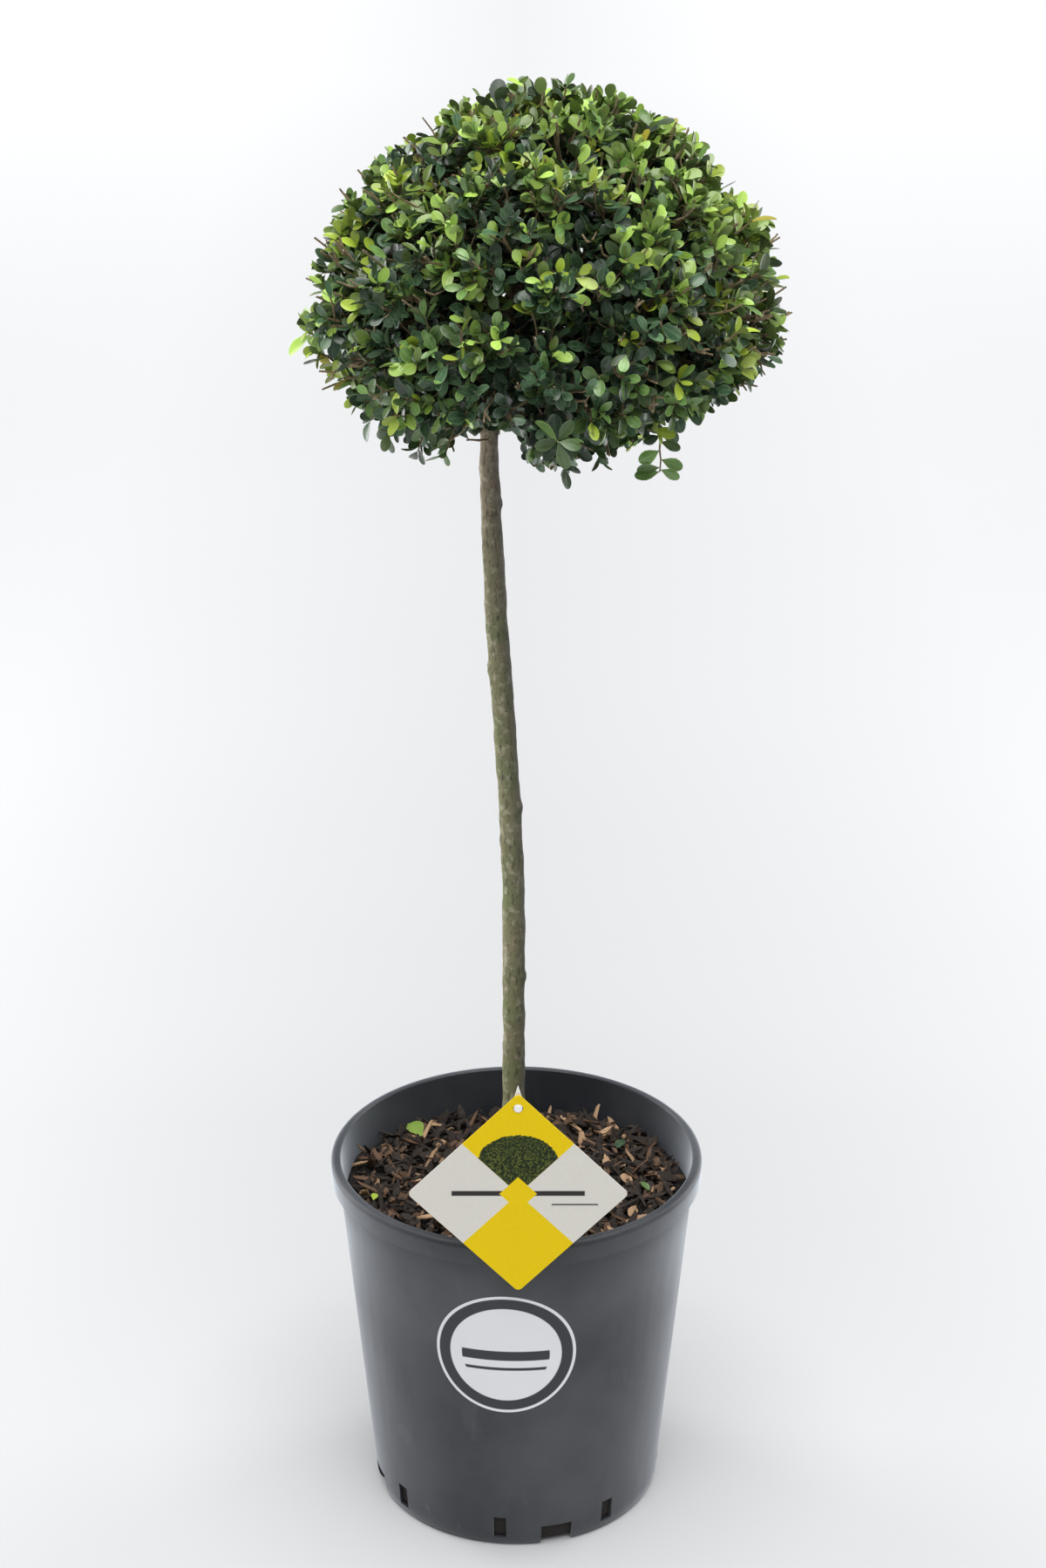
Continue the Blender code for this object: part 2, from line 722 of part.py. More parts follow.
def largest_shell(mesh):
    """The mesh with only its widest closed surface, so that hollows fill and scraps go."""
    form = bmesh.new()
    form.from_mesh(mesh)
    unseen = set(form.faces)
    shells = []
    while unseen:
        stack = [next(iter(unseen))]
        shell = set(stack)
        while stack:
            for edge in stack.pop().edges:
                for face in edge.link_faces:
                    if len(edge.link_faces) == 2 and face not in shell:
                        shell.add(face)
                        stack.append(face)
        unseen -= shell
        shells.append(shell)
    keep = max(shells, key=len)
    bmesh.ops.delete(form, geom=[face for face in form.faces if face not in keep], context="FACES")
    form.to_mesh(mesh)
    form.free()
    return mesh


def shoot_tips(draw):
    """Points spread evenly just under the ball's surface, none close round the stem."""
    for index in range(SHOOTS):
        rise = 1 - 2 * (index + 0.5) / SHOOTS
        flat = math.sqrt(1 - rise * rise)
        angle = index * GOLDEN_ANGLE + draw.uniform(-SHOOT_TURN, SHOOT_TURN)
        way = Vector((flat * math.cos(angle), flat * math.sin(angle), rise))
        level = SHOOT_LEVEL + draw.uniform(*SHOOT_LEVEL_RANGE)
        tip = BALL + way * reach_to_level(BALL, way, level)
        beside = stem_point(tip.z) - tip
        if tip.z > BALL.z or math.hypot(beside.x, beside.y) > STEM_CLEARING:
            yield tip


def build_foliage(masses, parts, material):
    """Grows every mass: the shoots spread over the ball first, and then the stray sprigs."""
    draw = random.Random(SEED)
    growing = [Foliage(mass, draw) for mass in masses]

    def nearest(tip):
        """The mass whose middle is nearest to the tip."""
        return min(growing, key=lambda foliage: (foliage.mass.middle - tip).length)

    for foliage in growing:
        foliage.add_stem()
    for tip in shoot_tips(draw):
        foliage = nearest(tip)
        middle = foliage.mass.middle
        for _ in range(HOMING_TRIES):
            if foliage.mass.holds(tip, TIP_SPARE):
                foliage.add_shoot(tip, LEAF_LEVEL)
                break
            way = (tip - middle).lerp(middle - BALL, HOMING_SHARE).normalized()
            tip = middle + way * foliage.mass.reach(way, SHOOT_LEVEL)
    for tip in STRAY_TIPS:
        foliage = nearest(tip)
        way = (tip - foliage.mass.middle).normalized()
        level = max(LEAF_LEVEL, ball_level(tip) + STRAY_SPARE)
        foliage.add_shoot(tip - way * LEAF_LENGTH * STRAY_LEAF_SHARE, level)
    for foliage in growing:
        foliage.join(parts, material)


# ---------------------------------------------------------------- label


def card_frame():
    """The card's own plane stood up: its X to the right, its Y up the card, its Z to the front."""
    upright = Matrix.Rotation(math.pi / 2 - CARD_LEAN, 4, "X")
    return Matrix.Translation(CARD_CENTRE) @ upright


def hole_centre():
    """How far up the card its hanging hole is, from the card's middle."""
    return CARD_SIDE / math.sqrt(2) - HOLE_DROP


def build_card(parts, material):
    """The square card on its corner, with round corners and the hanging hole."""
    curve = bpy.data.curves.new("plant_label", "CURVE")
    curve.dimensions = "2D"
    curve.fill_mode = "BOTH"
    curve.extrude = CARD_THICKNESS / 2
    inset = CARD_SIDE / 2 - CARD_CORNER
    outline = []
    for corner in range(4):
        turn = corner * math.pi / 2
        middle = Matrix.Rotation(turn, 2) @ Vector((inset, inset))
        for step in range(ARC_STEPS + 1):
            angle = turn + step * math.pi / 2 / ARC_STEPS
            outline.append(middle + CARD_CORNER * Vector((math.cos(angle), math.sin(angle))))
    outline = [Matrix.Rotation(math.pi / 4, 2) @ point for point in outline]
    hole = [
        Vector((HOLE_RADIUS * math.cos(angle), hole_centre() - HOLE_RADIUS * math.sin(angle)))
        for angle in np.linspace(0, math.tau, HOLE_STEPS, endpoint=False)
    ]
    for points in (outline, hole):
        spline = curve.splines.new("POLY")
        spline.points.add(len(points) - 1)
        spline.use_cyclic_u = True
        for point, place in zip(spline.points, points):
            point.co = (place.x, place.y, 0.0, 1.0)
    guide = bpy.data.objects.new("plant_label_guide", curve)
    parts.objects.link(guide)
    mesh = evaluated_mesh(guide)
    bpy.data.objects.remove(guide)
    card = add_object("plant_label", mesh, parts, material)
    card.matrix_world = card_frame()


def stick_frame():
    """The stick's frame: its Z up the stick, its origin behind the card's hole."""
    hole = card_frame() @ Vector((0.0, hole_centre(), 0.0))
    back = CARD_THICKNESS / 2 + STICK_BEHIND + STICK_THICKNESS / 2
    lean = Matrix.Rotation(STICK_LEAN, 4, "X")
    return Matrix.Translation(hole + Vector((0.0, back, 0.0))) @ lean


def stick_mesh(name, wider=0.0):
    """The flat stick with its pointed top, made wider all round for its pocket."""
    frame = stick_frame()
    above = STICK_TOP - frame.translation.z
    below = frame.translation.z - STICK_FOOT + wider
    half = STICK_WIDTH / 2 + wider
    form = bmesh.new()
    bmesh.ops.create_cube(form, size=1.0)
    bmesh.ops.subdivide_edges(
        form,
        edges=[edge for edge in form.edges if abs(edge.verts[0].co.x - edge.verts[1].co.x) > 0.5],
        cuts=1,
    )
    for vertex in form.verts:
        side, top = vertex.co.x, vertex.co.z > 0
        vertex.co.y *= STICK_THICKNESS + 2 * wider
        vertex.co.x = 2 * side * half
        if top:
            vertex.co.z = above - (STICK_POINT if abs(side) > 0.25 else 0.0)
        else:
            vertex.co.z = -below
    form.transform(frame)
    return mesh_from(name, form)


def build_stick(parts, cutters, material):
    """The stick with the peg that the card hangs on."""
    stick = add_object("label_stick", stick_mesh("label_stick"), parts, material)
    form = bmesh.new()
    through = CARD_THICKNESS + STICK_BEHIND + STICK_THICKNESS
    bmesh.ops.create_cone(
        form, cap_ends=True, segments=PEG_STEPS, radius1=PEG_RADIUS, radius2=PEG_RADIUS, depth=through
    )
    hole = card_frame() @ Vector((0.0, hole_centre(), 0.0))
    facing_front = Matrix.Rotation(math.pi / 2, 4, "X")
    middle = hole + Vector((0.0, through / 2 - PEG_PROUD, 0.0))
    form.transform(Matrix.Translation(middle) @ facing_front)
    peg = as_cutter(add_object("peg_guide", mesh_from("peg_guide", form), cutters))
    joined = stick.modifiers.new("peg", "BOOLEAN")
    joined.operation = "UNION"
    joined.object = peg


def main():
    clear_scene()
    parts = new_collection("lollipop_topiary")
    cutters = new_collection("cutters")
    black_plastic = finish_material("pot_plastic", (0.035, 0.040, 0.048), 0.45)
    compost = finish_material("bark_compost", (0.055, 0.035, 0.022), 0.95)
    bark = finish_material("bark", (0.20, 0.20, 0.13), 0.85)
    leaf_green = finish_material("leaves", (0.05, 0.12, 0.035), 0.45)
    card_white = finish_material("label_card", (0.80, 0.80, 0.78), 0.45)
    stick_white = finish_material("stick_plastic", (0.85, 0.85, 0.83), 0.40)
    build_pot(parts, cutters, black_plastic)
    build_soil(parts, cutters, compost)
    stem_cutter = build_stem(parts, cutters, bark)
    masses = plan_masses()
    for mass in masses[:-1]:
        build_bough(mass, stem_cutter, parts, bark)
    build_foliage(masses, parts, leaf_green)
    build_card(parts, card_white)
    build_stick(parts, cutters, stick_white)


if __name__ == "__main__":
    main()
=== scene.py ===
"""The looks of a lollipop topiary: a clipped holly ball on a bare stem, in a black nursery pot.

Metres, +Z up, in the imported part's frame: the origin is the middle of the pot's flat underside
and -Y is the front. The ball's limbs, twigs and leaves grow by the part's own rule, carried to
finer twigs within the same reach.
"""

import logging
import math
import random
from collections.abc import Iterable
from dataclasses import dataclass, field
from enum import Enum

import bmesh
import bpy
import numpy as np
from bmesh.types import BMesh, BMVert
from bpy.types import ID, Collection, Material, Node, NodeOutputs, NodeTree, Object
from bpy.types import NodeSocket as Socket
from mathutils import Matrix, Vector, noise
from mathutils.kdtree import KDTree


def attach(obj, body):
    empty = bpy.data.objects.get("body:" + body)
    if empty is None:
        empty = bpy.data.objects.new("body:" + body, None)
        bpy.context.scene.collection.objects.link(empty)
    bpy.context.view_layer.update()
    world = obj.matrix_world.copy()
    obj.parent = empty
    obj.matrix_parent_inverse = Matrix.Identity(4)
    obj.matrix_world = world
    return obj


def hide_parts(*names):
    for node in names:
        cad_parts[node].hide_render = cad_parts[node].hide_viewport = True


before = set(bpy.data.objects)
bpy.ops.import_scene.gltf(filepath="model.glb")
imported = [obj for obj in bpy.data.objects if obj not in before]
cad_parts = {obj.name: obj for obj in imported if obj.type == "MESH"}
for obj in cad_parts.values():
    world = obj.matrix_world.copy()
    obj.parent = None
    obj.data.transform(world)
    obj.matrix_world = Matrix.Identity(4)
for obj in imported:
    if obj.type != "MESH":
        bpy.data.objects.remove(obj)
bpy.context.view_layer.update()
LOG = logging.getLogger("lollipop_topiary")

BODY = "root"
GOLDEN_ANGLE = math.pi * (3 - math.sqrt(5))
UP = Vector((0.0, 0.0, 1.0))
FRONT = Vector((0.0, -0.87, 0.50))
TINY = 1e-6

Pair = tuple[float, float]
Triple = tuple[float, float, float]
Colour = Triple
Line = list[Vector]
End = tuple[Vector, Vector]
Number = Socket | float
Paint = Socket | Colour


# ---- shared tools


def smooth_step(share: float) -> float:
    """Eases from 0 to 1 as the share does."""
    share = min(max(share, 0.0), 1.0)
    return share * share * (3 - 2 * share)


def as_object(name: str, data: ID | None) -> Object:
    """Puts a mesh, a curve, a light or a camera in the scene, under its name."""
    obj = bpy.data.objects.new(name, data)
    bpy.context.scene.collection.objects.link(obj)
    return obj


def from_form(name: str, form: BMesh) -> Object:
    """Turns a bmesh into an object, and frees it."""
    mesh = bpy.data.meshes.new(name)
    form.to_mesh(mesh)
    form.free()
    return as_object(name, mesh)


def join(form: BMesh, part: BMesh) -> None:
    """Adds a part to a bmesh, and frees the part."""
    mesh = bpy.data.meshes.new("part")
    part.to_mesh(mesh)
    part.free()
    form.from_mesh(mesh)


def face_disc(form: BMesh, middle: BMVert, rings: list[list[BMVert]]) -> None:
    """Adds a disc's faces: a fan about its middle, then a band from each ring to the next.

    Args:
        form: the bmesh.
        middle: the disc's middle vertex.
        rings: its rings of vertices, from the inmost.
    """
    spokes = len(rings[0])
    for spoke in range(spokes):
        after = (spoke + 1) % spokes
        form.faces.new((middle, rings[0][spoke], rings[0][after]))
        for inner, outer in zip(rings, rings[1:]):
            form.faces.new((inner[spoke], outer[spoke], outer[after], inner[after]))


def plain(obj: Object, name: str) -> Object:
    """Works out an object's modifiers and keeps the result as a plain mesh.

    Args:
        obj: the object that carries the modifiers. It is removed.
        name: the new object's name.

    Returns:
        The new object, with no modifier on it.
    """
    graph = bpy.context.evaluated_depsgraph_get()
    mesh = bpy.data.meshes.new_from_object(obj.evaluated_get(graph))
    mesh.name = name
    bpy.data.objects.remove(obj)
    return as_object(name, mesh)


def smoothed(obj: Object, sharp_from: float | None = None) -> Object:
    """Shades an object smooth, but for the edges that turn by more than an angle."""
    obj.data.shade_smooth()
    if sharp_from:
        obj.data.set_sharp_from_angle(angle=sharp_from)
    return obj


def mark(obj: Object, name: str, values: Iterable, kind: str = "FLOAT") -> None:
    """Gives each vertex of an object a number or a vector of its own, under a name."""
    flat = np.array(values, np.int32 if kind == "INT" else np.float32).ravel()
    key = "vector" if kind == "FLOAT_VECTOR" else "value"
    obj.data.attributes.new(name, kind, "POINT").data.foreach_set(key, flat)


def dress(obj: Object, material: Material) -> Object:
    """Gives an object just this material."""
    obj.data.materials.clear()
    obj.data.materials.append(material)
    return obj


def set_aside(name: str, objects: list[Object]) -> Collection:
    """Takes objects out of the scene, into a collection that a tree can pick from.

    Args:
        name: the collection's name.
        objects: the objects.

    Returns:
        The collection.
    """
    held = bpy.data.collections.new(name)
    for obj in objects:
        bpy.context.scene.collection.objects.unlink(obj)
        held.objects.link(obj)
    return held


def hand_over(piece: Object, nodes: Iterable[str] = ()) -> None:
    """Fits a finished piece to the part: its body and the nodes it replaces.

    Args:
        piece: the finished piece.
        nodes: the names of the nodes that it stands for.
    """
    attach(piece, BODY)
    if nodes:
        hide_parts(*nodes)
    piece.data.calc_loop_triangles()
    LOG.info("%s: %d triangles", piece.name, len(piece.data.loop_triangles))


class Nodes:
    """A tree of nodes, built with a short call for each."""

    tree: NodeTree

    def add(self, kind: str, values: dict[str, object] | None = None, **settings: object) -> Node:
        """Adds a node.

        Args:
            kind: the node's type.
            values: inputs by name, each a value or another node's output.
            **settings: the node's own properties.

        Returns:
            The node.
        """
        node = self.tree.nodes.new(kind)
        for key, value in settings.items():
            setattr(node, key, value)
        for key, value in (values or {}).items():
            self.feed(node.inputs[key], value)
        return node

    def feed(self, socket: Socket, value: object) -> None:
        """Links an output to a socket, or sets the socket's own value."""
        if isinstance(value, Socket):
            self.tree.links.new(value, socket)
        else:
            socket.default_value = value

    def maths(self, operation: str, first: Number, second: Number = 0.0) -> Socket:
        """One sum of two numbers."""
        node = self.add("ShaderNodeMath", operation=operation)
        self.feed(node.inputs[0], first)
        self.feed(node.inputs[1], second)
        return node.outputs[0]

    def times(self, first: Number, second: Number) -> Socket:
        """The product of two numbers."""
        return self.maths("MULTIPLY", first, second)

    def plus(self, first: Number, second: Number) -> Socket:
        """The sum of two numbers."""
        return self.maths("ADD", first, second)


@dataclass(frozen=True)
class Marks:
    """Soft marks on a surface: how fine and how ragged, and where they fade in and how far."""

    fineness: float
    detail: float = 3.0
    start: float = 0.3
    full: float = 0.7
    strength: float = 1.0


class Shading(Nodes):
    """Builds one material."""

    def __init__(self, name: str) -> None:
        """Starts a material with its Principled shader."""
        self.material = bpy.data.materials.new(name)
        self.material.use_nodes = True
        self.tree = self.material.node_tree
        self.shader = self.tree.nodes["Principled BSDF"]

    def surface(self, **values: object) -> None:
        """Feeds the shader's sockets, named with underscores for spaces."""
        for key, value in values.items():
            self.feed(self.shader.inputs[key.replace("_", " ")], value)

    def place(self, scale: Triple = (1.0, 1.0, 1.0)) -> Socket:
        """Object coordinates, stretched along each axis."""
        where = self.add("ShaderNodeTexCoord").outputs["Object"]
        return self.add("ShaderNodeMapping", {"Vector": where, "Scale": scale}).outputs["Vector"]

    def chart(self, name: str) -> Socket:
        """The place on one of the mesh's own UV maps."""
        return self.add("ShaderNodeUVMap", uv_map=name).outputs["UV"]

    def split(self, where: Socket) -> NodeOutputs:
        """A place's X, Y and Z, by name."""
        return self.add("ShaderNodeSeparateXYZ", {"Vector": where}).outputs

    def cloud(self, where: Socket, marks: Marks) -> Socket:
        """The soft noise between 0 and 1 that marks come from."""
        values = {"Vector": where, "Scale": marks.fineness, "Detail": marks.detail}
        return self.add("ShaderNodeTexNoise", values).outputs["Fac"]

    def marked(self, where: Socket, marks: Marks) -> tuple[Socket, Socket]:
        """The noise that marks come from, and how strongly the marks show."""
        cloud = self.cloud(where, marks)
        return cloud, self.between(cloud, marks.start, marks.full, 0.0, marks.strength)

    def spots(self, where: Socket, scale: float) -> Socket:
        """The distance to the nearest of many scattered points."""
        return self.add("ShaderNodeTexVoronoi", {"Vector": where, "Scale": scale}).outputs["Distance"]

    def attribute(self, name: str) -> Socket:
        """A number that the mesh carries."""
        return self.add("ShaderNodeAttribute", attribute_name=name).outputs["Fac"]

    def between(self, value: Socket, low: float, high: float, start: float = 0.0, end: float = 1.0) -> Socket:
        """Takes the range low to high to the range start to end, and clamps it."""
        values = {"Value": value, "From Min": low, "From Max": high, "To Min": start, "To Max": end}
        return self.add("ShaderNodeMapRange", values).outputs["Result"]

    def below(self, value: Socket, limit: float, soft: float) -> Socket:
        """1 where a value is under a limit and 0 where it isn't, with a soft edge."""
        return self.between(value, limit - soft, limit + soft, 1.0, 0.0)

    def span(self, value: Socket, low: float, high: float, soft: float) -> Socket:
        """1 where a value is between two limits and 0 where it isn't, with soft edges."""
        return self.times(self.between(value, low - soft, low + soft), self.below(value, high, soft))

    def size(self, value: Socket) -> Socket:
        """A number without its sign."""
        return self.maths("ABSOLUTE", value)

    def squares(self, first: Socket, second: Socket) -> Socket:
        """The sum of two numbers' squares."""
        return self.plus(self.times(first, first), self.times(second, second))

    def blend(self, share: Socket, first: Paint, second: Paint) -> Socket:
        """Blends two colours, each an output or three numbers."""
        node = self.add("ShaderNodeMix", {"Factor": share}, data_type="RGBA", blend_type="MIX")
        for name, colour in (("A", first), ("B", second)):
            self.feed(node.inputs[name], (*colour, 1.0) if isinstance(colour, tuple) else colour)
        return node.outputs["Result"]

    def lit(self, colour: Socket, level: Socket) -> Socket:
        """A colour at a share of its own brightness."""
        return self.add("ShaderNodeHueSaturation", {"Color": colour, "Value": level}).outputs["Color"]

    def bump(self, height: Socket, strength: float, distance: float) -> None:
        """Gives the surface a fine relief."""
        values = {"Height": height, "Strength": strength, "Distance": distance}
        self.surface(Normal=self.add("ShaderNodeBump", values).outputs["Normal"])


class Finish:
    """What a piece's surface looks like. Each kind paints its own material."""

    name: str

    def paint(self, look: Shading) -> None:
        """Lays the colours, the gloss and the relief in a material's nodes."""
        raise NotImplementedError

    def material(self) -> Material:
        """Builds the finish's material."""
        look = Shading(self.name)
        self.paint(look)
        return look.material


class Growth(Nodes):
    """Builds one Geometry Nodes tree, and runs it on an object."""

    def __init__(self, name: str, **inputs: str) -> None:
        """Starts a tree.

        Args:
            name: the tree's name.
            **inputs: the type of each of its inputs but the geometry, without the Socket
                prefix, named with underscores for spaces.
        """
        self.tree = bpy.data.node_groups.new(name, "GeometryNodeTree")
        self.sockets: dict[str, str] = {}
        self.tree.interface.new_socket("Geometry", in_out="OUTPUT", socket_type="NodeSocketGeometry")
        for key, kind in {"Geometry": "Geometry", **inputs}.items():
            label = key.replace("_", " ")
            socket = self.tree.interface.new_socket(label, in_out="INPUT", socket_type="NodeSocket" + kind)
            self.sockets[key] = socket.identifier
        self.given = self.tree.nodes.new("NodeGroupInput").outputs
        self.end = self.tree.nodes.new("NodeGroupOutput")

    def named(self, attribute: str, kind: str) -> Socket:
        """A value that the points carry."""
        values = {"Name": attribute}
        return self.add("GeometryNodeInputNamedAttribute", values, data_type=kind).outputs["Attribute"]

    def drawn(self, low: float | Triple, high: float | Triple, kind: str = "FLOAT") -> Socket:
        """A random value for each point, by the tree's Seed."""
        values = {"Min": low, "Max": high, "Seed": self.given["Seed"]}
        return self.add("FunctionNodeRandomValue", values, data_type=kind).outputs["Value"]

    def put(self, points: Socket, forms: Socket, form: Socket, turn: Socket, size: Socket) -> None:
        """Ends the tree by putting one form on each point.

        Args:
            points: the points.
            forms: the collection that the forms are in.
            form: which form each point takes.
            turn: its angles about X, Y and Z.
            size: its scale.
        """
        kinds = self.add("GeometryNodeCollectionInfo", {"Collection": forms, "Separate Children": True})
        facing = self.add("FunctionNodeEulerToRotation", {"Euler": turn})
        values = {
            "Points": points,
            "Instance": kinds.outputs["Instances"],
            "Pick Instance": True,
            "Instance Index": form,
            "Rotation": facing.outputs["Rotation"],
            "Scale": size,
        }
        self.finish(self.add("GeometryNodeInstanceOnPoints", values).outputs["Instances"])

    def finish(self, geometry: Socket) -> None:
        """Ends the tree by realizing what it instances and setting its material."""
        real = self.add("GeometryNodeRealizeInstances", {"Geometry": geometry}).outputs["Geometry"]
        values = {"Geometry": real, "Material": self.given["Finish"]}
        coated = self.add("GeometryNodeSetMaterial", values)
        self.tree.links.new(coated.outputs["Geometry"], self.end.inputs[0])

    def run(self, obj: Object, name: str, **values: object) -> Object:
        """Runs the tree on an object.

        Args:
            obj: what the tree takes in. It is removed.
            name: the name of the piece.
            **values: the tree's inputs, named with underscores for spaces.

        Returns:
            The piece, as a plain mesh.
        """
        modifier = obj.modifiers.new(self.tree.name, "NODES")
        modifier.node_group = self.tree
        for key, value in values.items():
            modifier[self.sockets[key]] = value
        return plain(obj, name)


# ---- finishes


class Tone(Enum):
    """The shades of leaf, from the oldest to the newest growth."""

    DEEP = "deep"
    SHADE = "shade"
    MIDDLE = "middle"
    LIGHT = "light"
    FRESH = "fresh"
    GOLD = "gold"


Tones = tuple[Tone, Tone, Tone]


@dataclass(frozen=True)
class LeafFinish(Finish):
    """A waxy little leaf with a pale margin and midrib, and a duller underside."""

    name: str
    upper: Colour
    under: Colour
    margin: Colour
    roughness: float
    darkest: float = 0.40
    palest: float = 2.20
    middle: float = 0.5
    rib: Pair = (0.015, 0.05)
    rib_strength: float = 0.60
    edge: Pair = (0.41, 0.46)
    edge_strength: float = 0.80
    mottle: Marks = Marks(160.0, strength=0.30)
    veins: float = 3.0
    vein_relief: float = 0.3
    relief: Pair = (0.35, 0.0004)

    def paint(self, look: Shading) -> None:
        """Paints the leaf, whose pattern follows its own UV map."""
        chart = look.chart("leaf")
        off_rib = look.size(look.maths("SUBTRACT", look.split(chart)["X"], self.middle))
        rib = look.between(off_rib, *self.rib, self.rib_strength, 0.0)
        edge = look.between(off_rib, *self.edge, 0.0, self.edge_strength)
        mottle, mottled = look.marked(look.place(), self.mottle)
        upper = look.blend(mottled, self.upper, self.margin)
        upper = look.blend(look.maths("MAXIMUM", rib, edge), upper, self.margin)
        colour = look.blend(look.attribute("under"), upper, self.under)
        tint = look.attribute("tint")
        shade = look.between(look.times(tint, tint), 0.0, 1.0, self.darkest, self.palest)
        look.surface(Base_Color=look.lit(colour, shade), Specular_IOR_Level=0.45)
        look.surface(Coat_Weight=0.40, Coat_Roughness=0.12)
        look.surface(Roughness=look.between(mottle, 0.2, 0.8, self.roughness - 0.06, self.roughness + 0.10))
        veins = look.add("ShaderNodeTexWave", {"Vector": chart, "Scale": self.veins}).outputs["Fac"]
        look.bump(look.plus(look.times(veins, self.vein_relief), rib), *self.relief)


LEAF_FINISHES = {
    Tone.DEEP: LeafFinish("leaf_deep", (0.008, 0.022, 0.012), (0.030, 0.055, 0.028), (0.05, 0.09, 0.05), 0.32),
    Tone.SHADE: LeafFinish("leaf_shade", (0.031, 0.077, 0.036), (0.11, 0.16, 0.085), (0.16, 0.25, 0.13), 0.27),
    Tone.MIDDLE: LeafFinish("leaf_middle", (0.085, 0.175, 0.042), (0.17, 0.24, 0.09), (0.24, 0.35, 0.12), 0.28),
    Tone.LIGHT: LeafFinish("leaf_light", (0.26, 0.40, 0.065), (0.27, 0.38, 0.12), (0.37, 0.53, 0.14), 0.30),
    Tone.FRESH: LeafFinish("leaf_fresh", (0.40, 0.54, 0.048), (0.38, 0.48, 0.10), (0.48, 0.60, 0.11), 0.36, 0.7, 1.5),
    Tone.GOLD: LeafFinish("leaf_gold", (0.56, 0.50, 0.042), (0.46, 0.40, 0.09), (0.54, 0.46, 0.10), 0.42, 0.7, 1.3),
}


@dataclass(frozen=True)
class BarkFinish(Finish):
    """Grey bark with a green bloom, pale lichen patches, dark flecks and pores, and painted light and shade: lighter
    on one side of a limb, darker on the other.
    """

    name: str
    base: Colour
    bloom: Colour
    pale: Colour
    fleck: Colour
    bare: Colour
    # The bark's brightness on its painted shade side and on its painted light side.
    painted_shade_level: float = 0.26
    painted_light_level: float = 1.95
    bare_heights: Pair = (0.80, 0.90)
    ragged: float = 0.05
    blotches: Marks = Marks(42.0, 4.0, 0.35, 0.65)
    patches: Marks = Marks(150.0, 5.0, 0.53, 0.66, 0.60)
    grain: Marks = Marks(420.0, 4.0, 0.54, 0.68, 0.70)
    grain_stretch: Triple = (1.0, 1.0, 0.30)
    pores: float = 260.0
    pore_stretch: Triple = (1.0, 1.0, 2.6)
    pore_edge: Pair = (0.10, 0.22)
    pore_strength: float = 0.85
    pore_rim: Pair = (0.08, 0.25)
    relief: Pair = (0.75, 0.0007)

    def paint(self, look: Shading) -> None:
        """Paints the bark, which turns from the bloom to bare grey-brown with height, with painted light on one side
        and painted shade on the other.
        """
        where = look.place()
        blotch, blotched = look.marked(where, self.blotches)
        patch, patched = look.marked(where, self.patches)
        grain, grained = look.marked(look.place(self.grain_stretch), self.grain)
        pores = look.spots(look.place(self.pore_stretch), self.pores)
        colour = look.blend(blotched, self.base, self.bloom)
        height = look.plus(look.split(where)["Z"], look.times(blotch, self.ragged))
        colour = look.blend(look.between(height, *self.bare_heights), colour, self.bare)
        colour = look.blend(patched, colour, self.pale)
        colour = look.blend(grained, colour, self.fleck)
        pitted = look.between(pores, *self.pore_edge, self.pore_strength, 0.0)
        colour = look.blend(pitted, colour, self.fleck)
        # Painted light and shade: lighter where the mesh marks the lit side, darker on the other side.
        painted_side_light = look.between(look.attribute("painted_side_light"), 0.0, 1.0, self.painted_shade_level, self.painted_light_level)
        look.surface(Base_Color=look.lit(colour, painted_side_light), Roughness=look.between(blotch, 0.2, 0.8, 0.62, 0.85))
        rough = look.maths("SUBTRACT", look.plus(grain, patch), look.between(pores, *self.pore_rim))
        look.bump(rough, *self.relief)


@dataclass(frozen=True)
class PlasticFinish(Finish):
    """Moulded plastic: a soft gloss, faint flow streaks, dust and fine scuffs."""

    name: str
    base: Colour
    dust: Colour
    roughness: float
    dusty: float
    sheen: float
    grain: float = 0.25
    rim_gain: float = 2.8
    rim_heights: Pair = (0.19, 0.285)
    streaks: Marks = Marks(90.0)
    streak_stretch: Triple = (1.0, 1.0, 0.12)
    streak_relief: float = 0.8
    clouds: Marks = Marks(9.0, 4.0, 0.40, 0.72)
    specks: Marks = Marks(900.0, 2.0, 0.68, 0.76)
    pits: Marks = Marks(1500.0, 2.0)
    scuffs: Marks = Marks(38.0, 6.0, 0.56, 0.70)
    scuff_stretch: Triple = (1.0, 1.0, 0.45)
    scuff_heights: Pair = (0.0, 0.16)
    scuff_strengths: Pair = (1.2, 0.3)

    def paint(self, look: Shading) -> None:
        """Paints the plastic, dustier and more scuffed near the foot."""
        where = look.place()
        height = look.split(where)["Z"]
        streak = look.cloud(look.place(self.streak_stretch), self.streaks)
        cloud, clouded = look.marked(where, self.clouds)
        _, scuffed = look.marked(look.place(self.scuff_stretch), self.scuffs)
        _, specked = look.marked(where, self.specks)
        scuffed = look.times(scuffed, look.between(height, *self.scuff_heights, *self.scuff_strengths))
        dirt = look.maths("MAXIMUM", look.times(clouded, self.dusty), look.times(scuffed, self.dusty))
        colour = look.blend(dirt, self.base, self.dust)
        colour = look.blend(look.times(specked, self.dusty), colour, self.dust)
        uneven = look.plus(streak, cloud)
        rough = look.between(uneven, 0.7, 1.3, self.roughness - 0.06, self.roughness + 0.08)
        look.surface(Base_Color=colour, Roughness=rough, Specular_IOR_Level=0.5)
        haze = look.between(height, *self.rim_heights, self.sheen, self.sheen * self.rim_gain)
        look.surface(Sheen_Weight=haze, Sheen_Roughness=0.35, Sheen_Tint=(0.86, 0.92, 1.0, 1.0))
        fine = look.plus(look.cloud(where, self.pits), look.times(streak, self.streak_relief))
        look.bump(fine, self.grain, 0.0003)


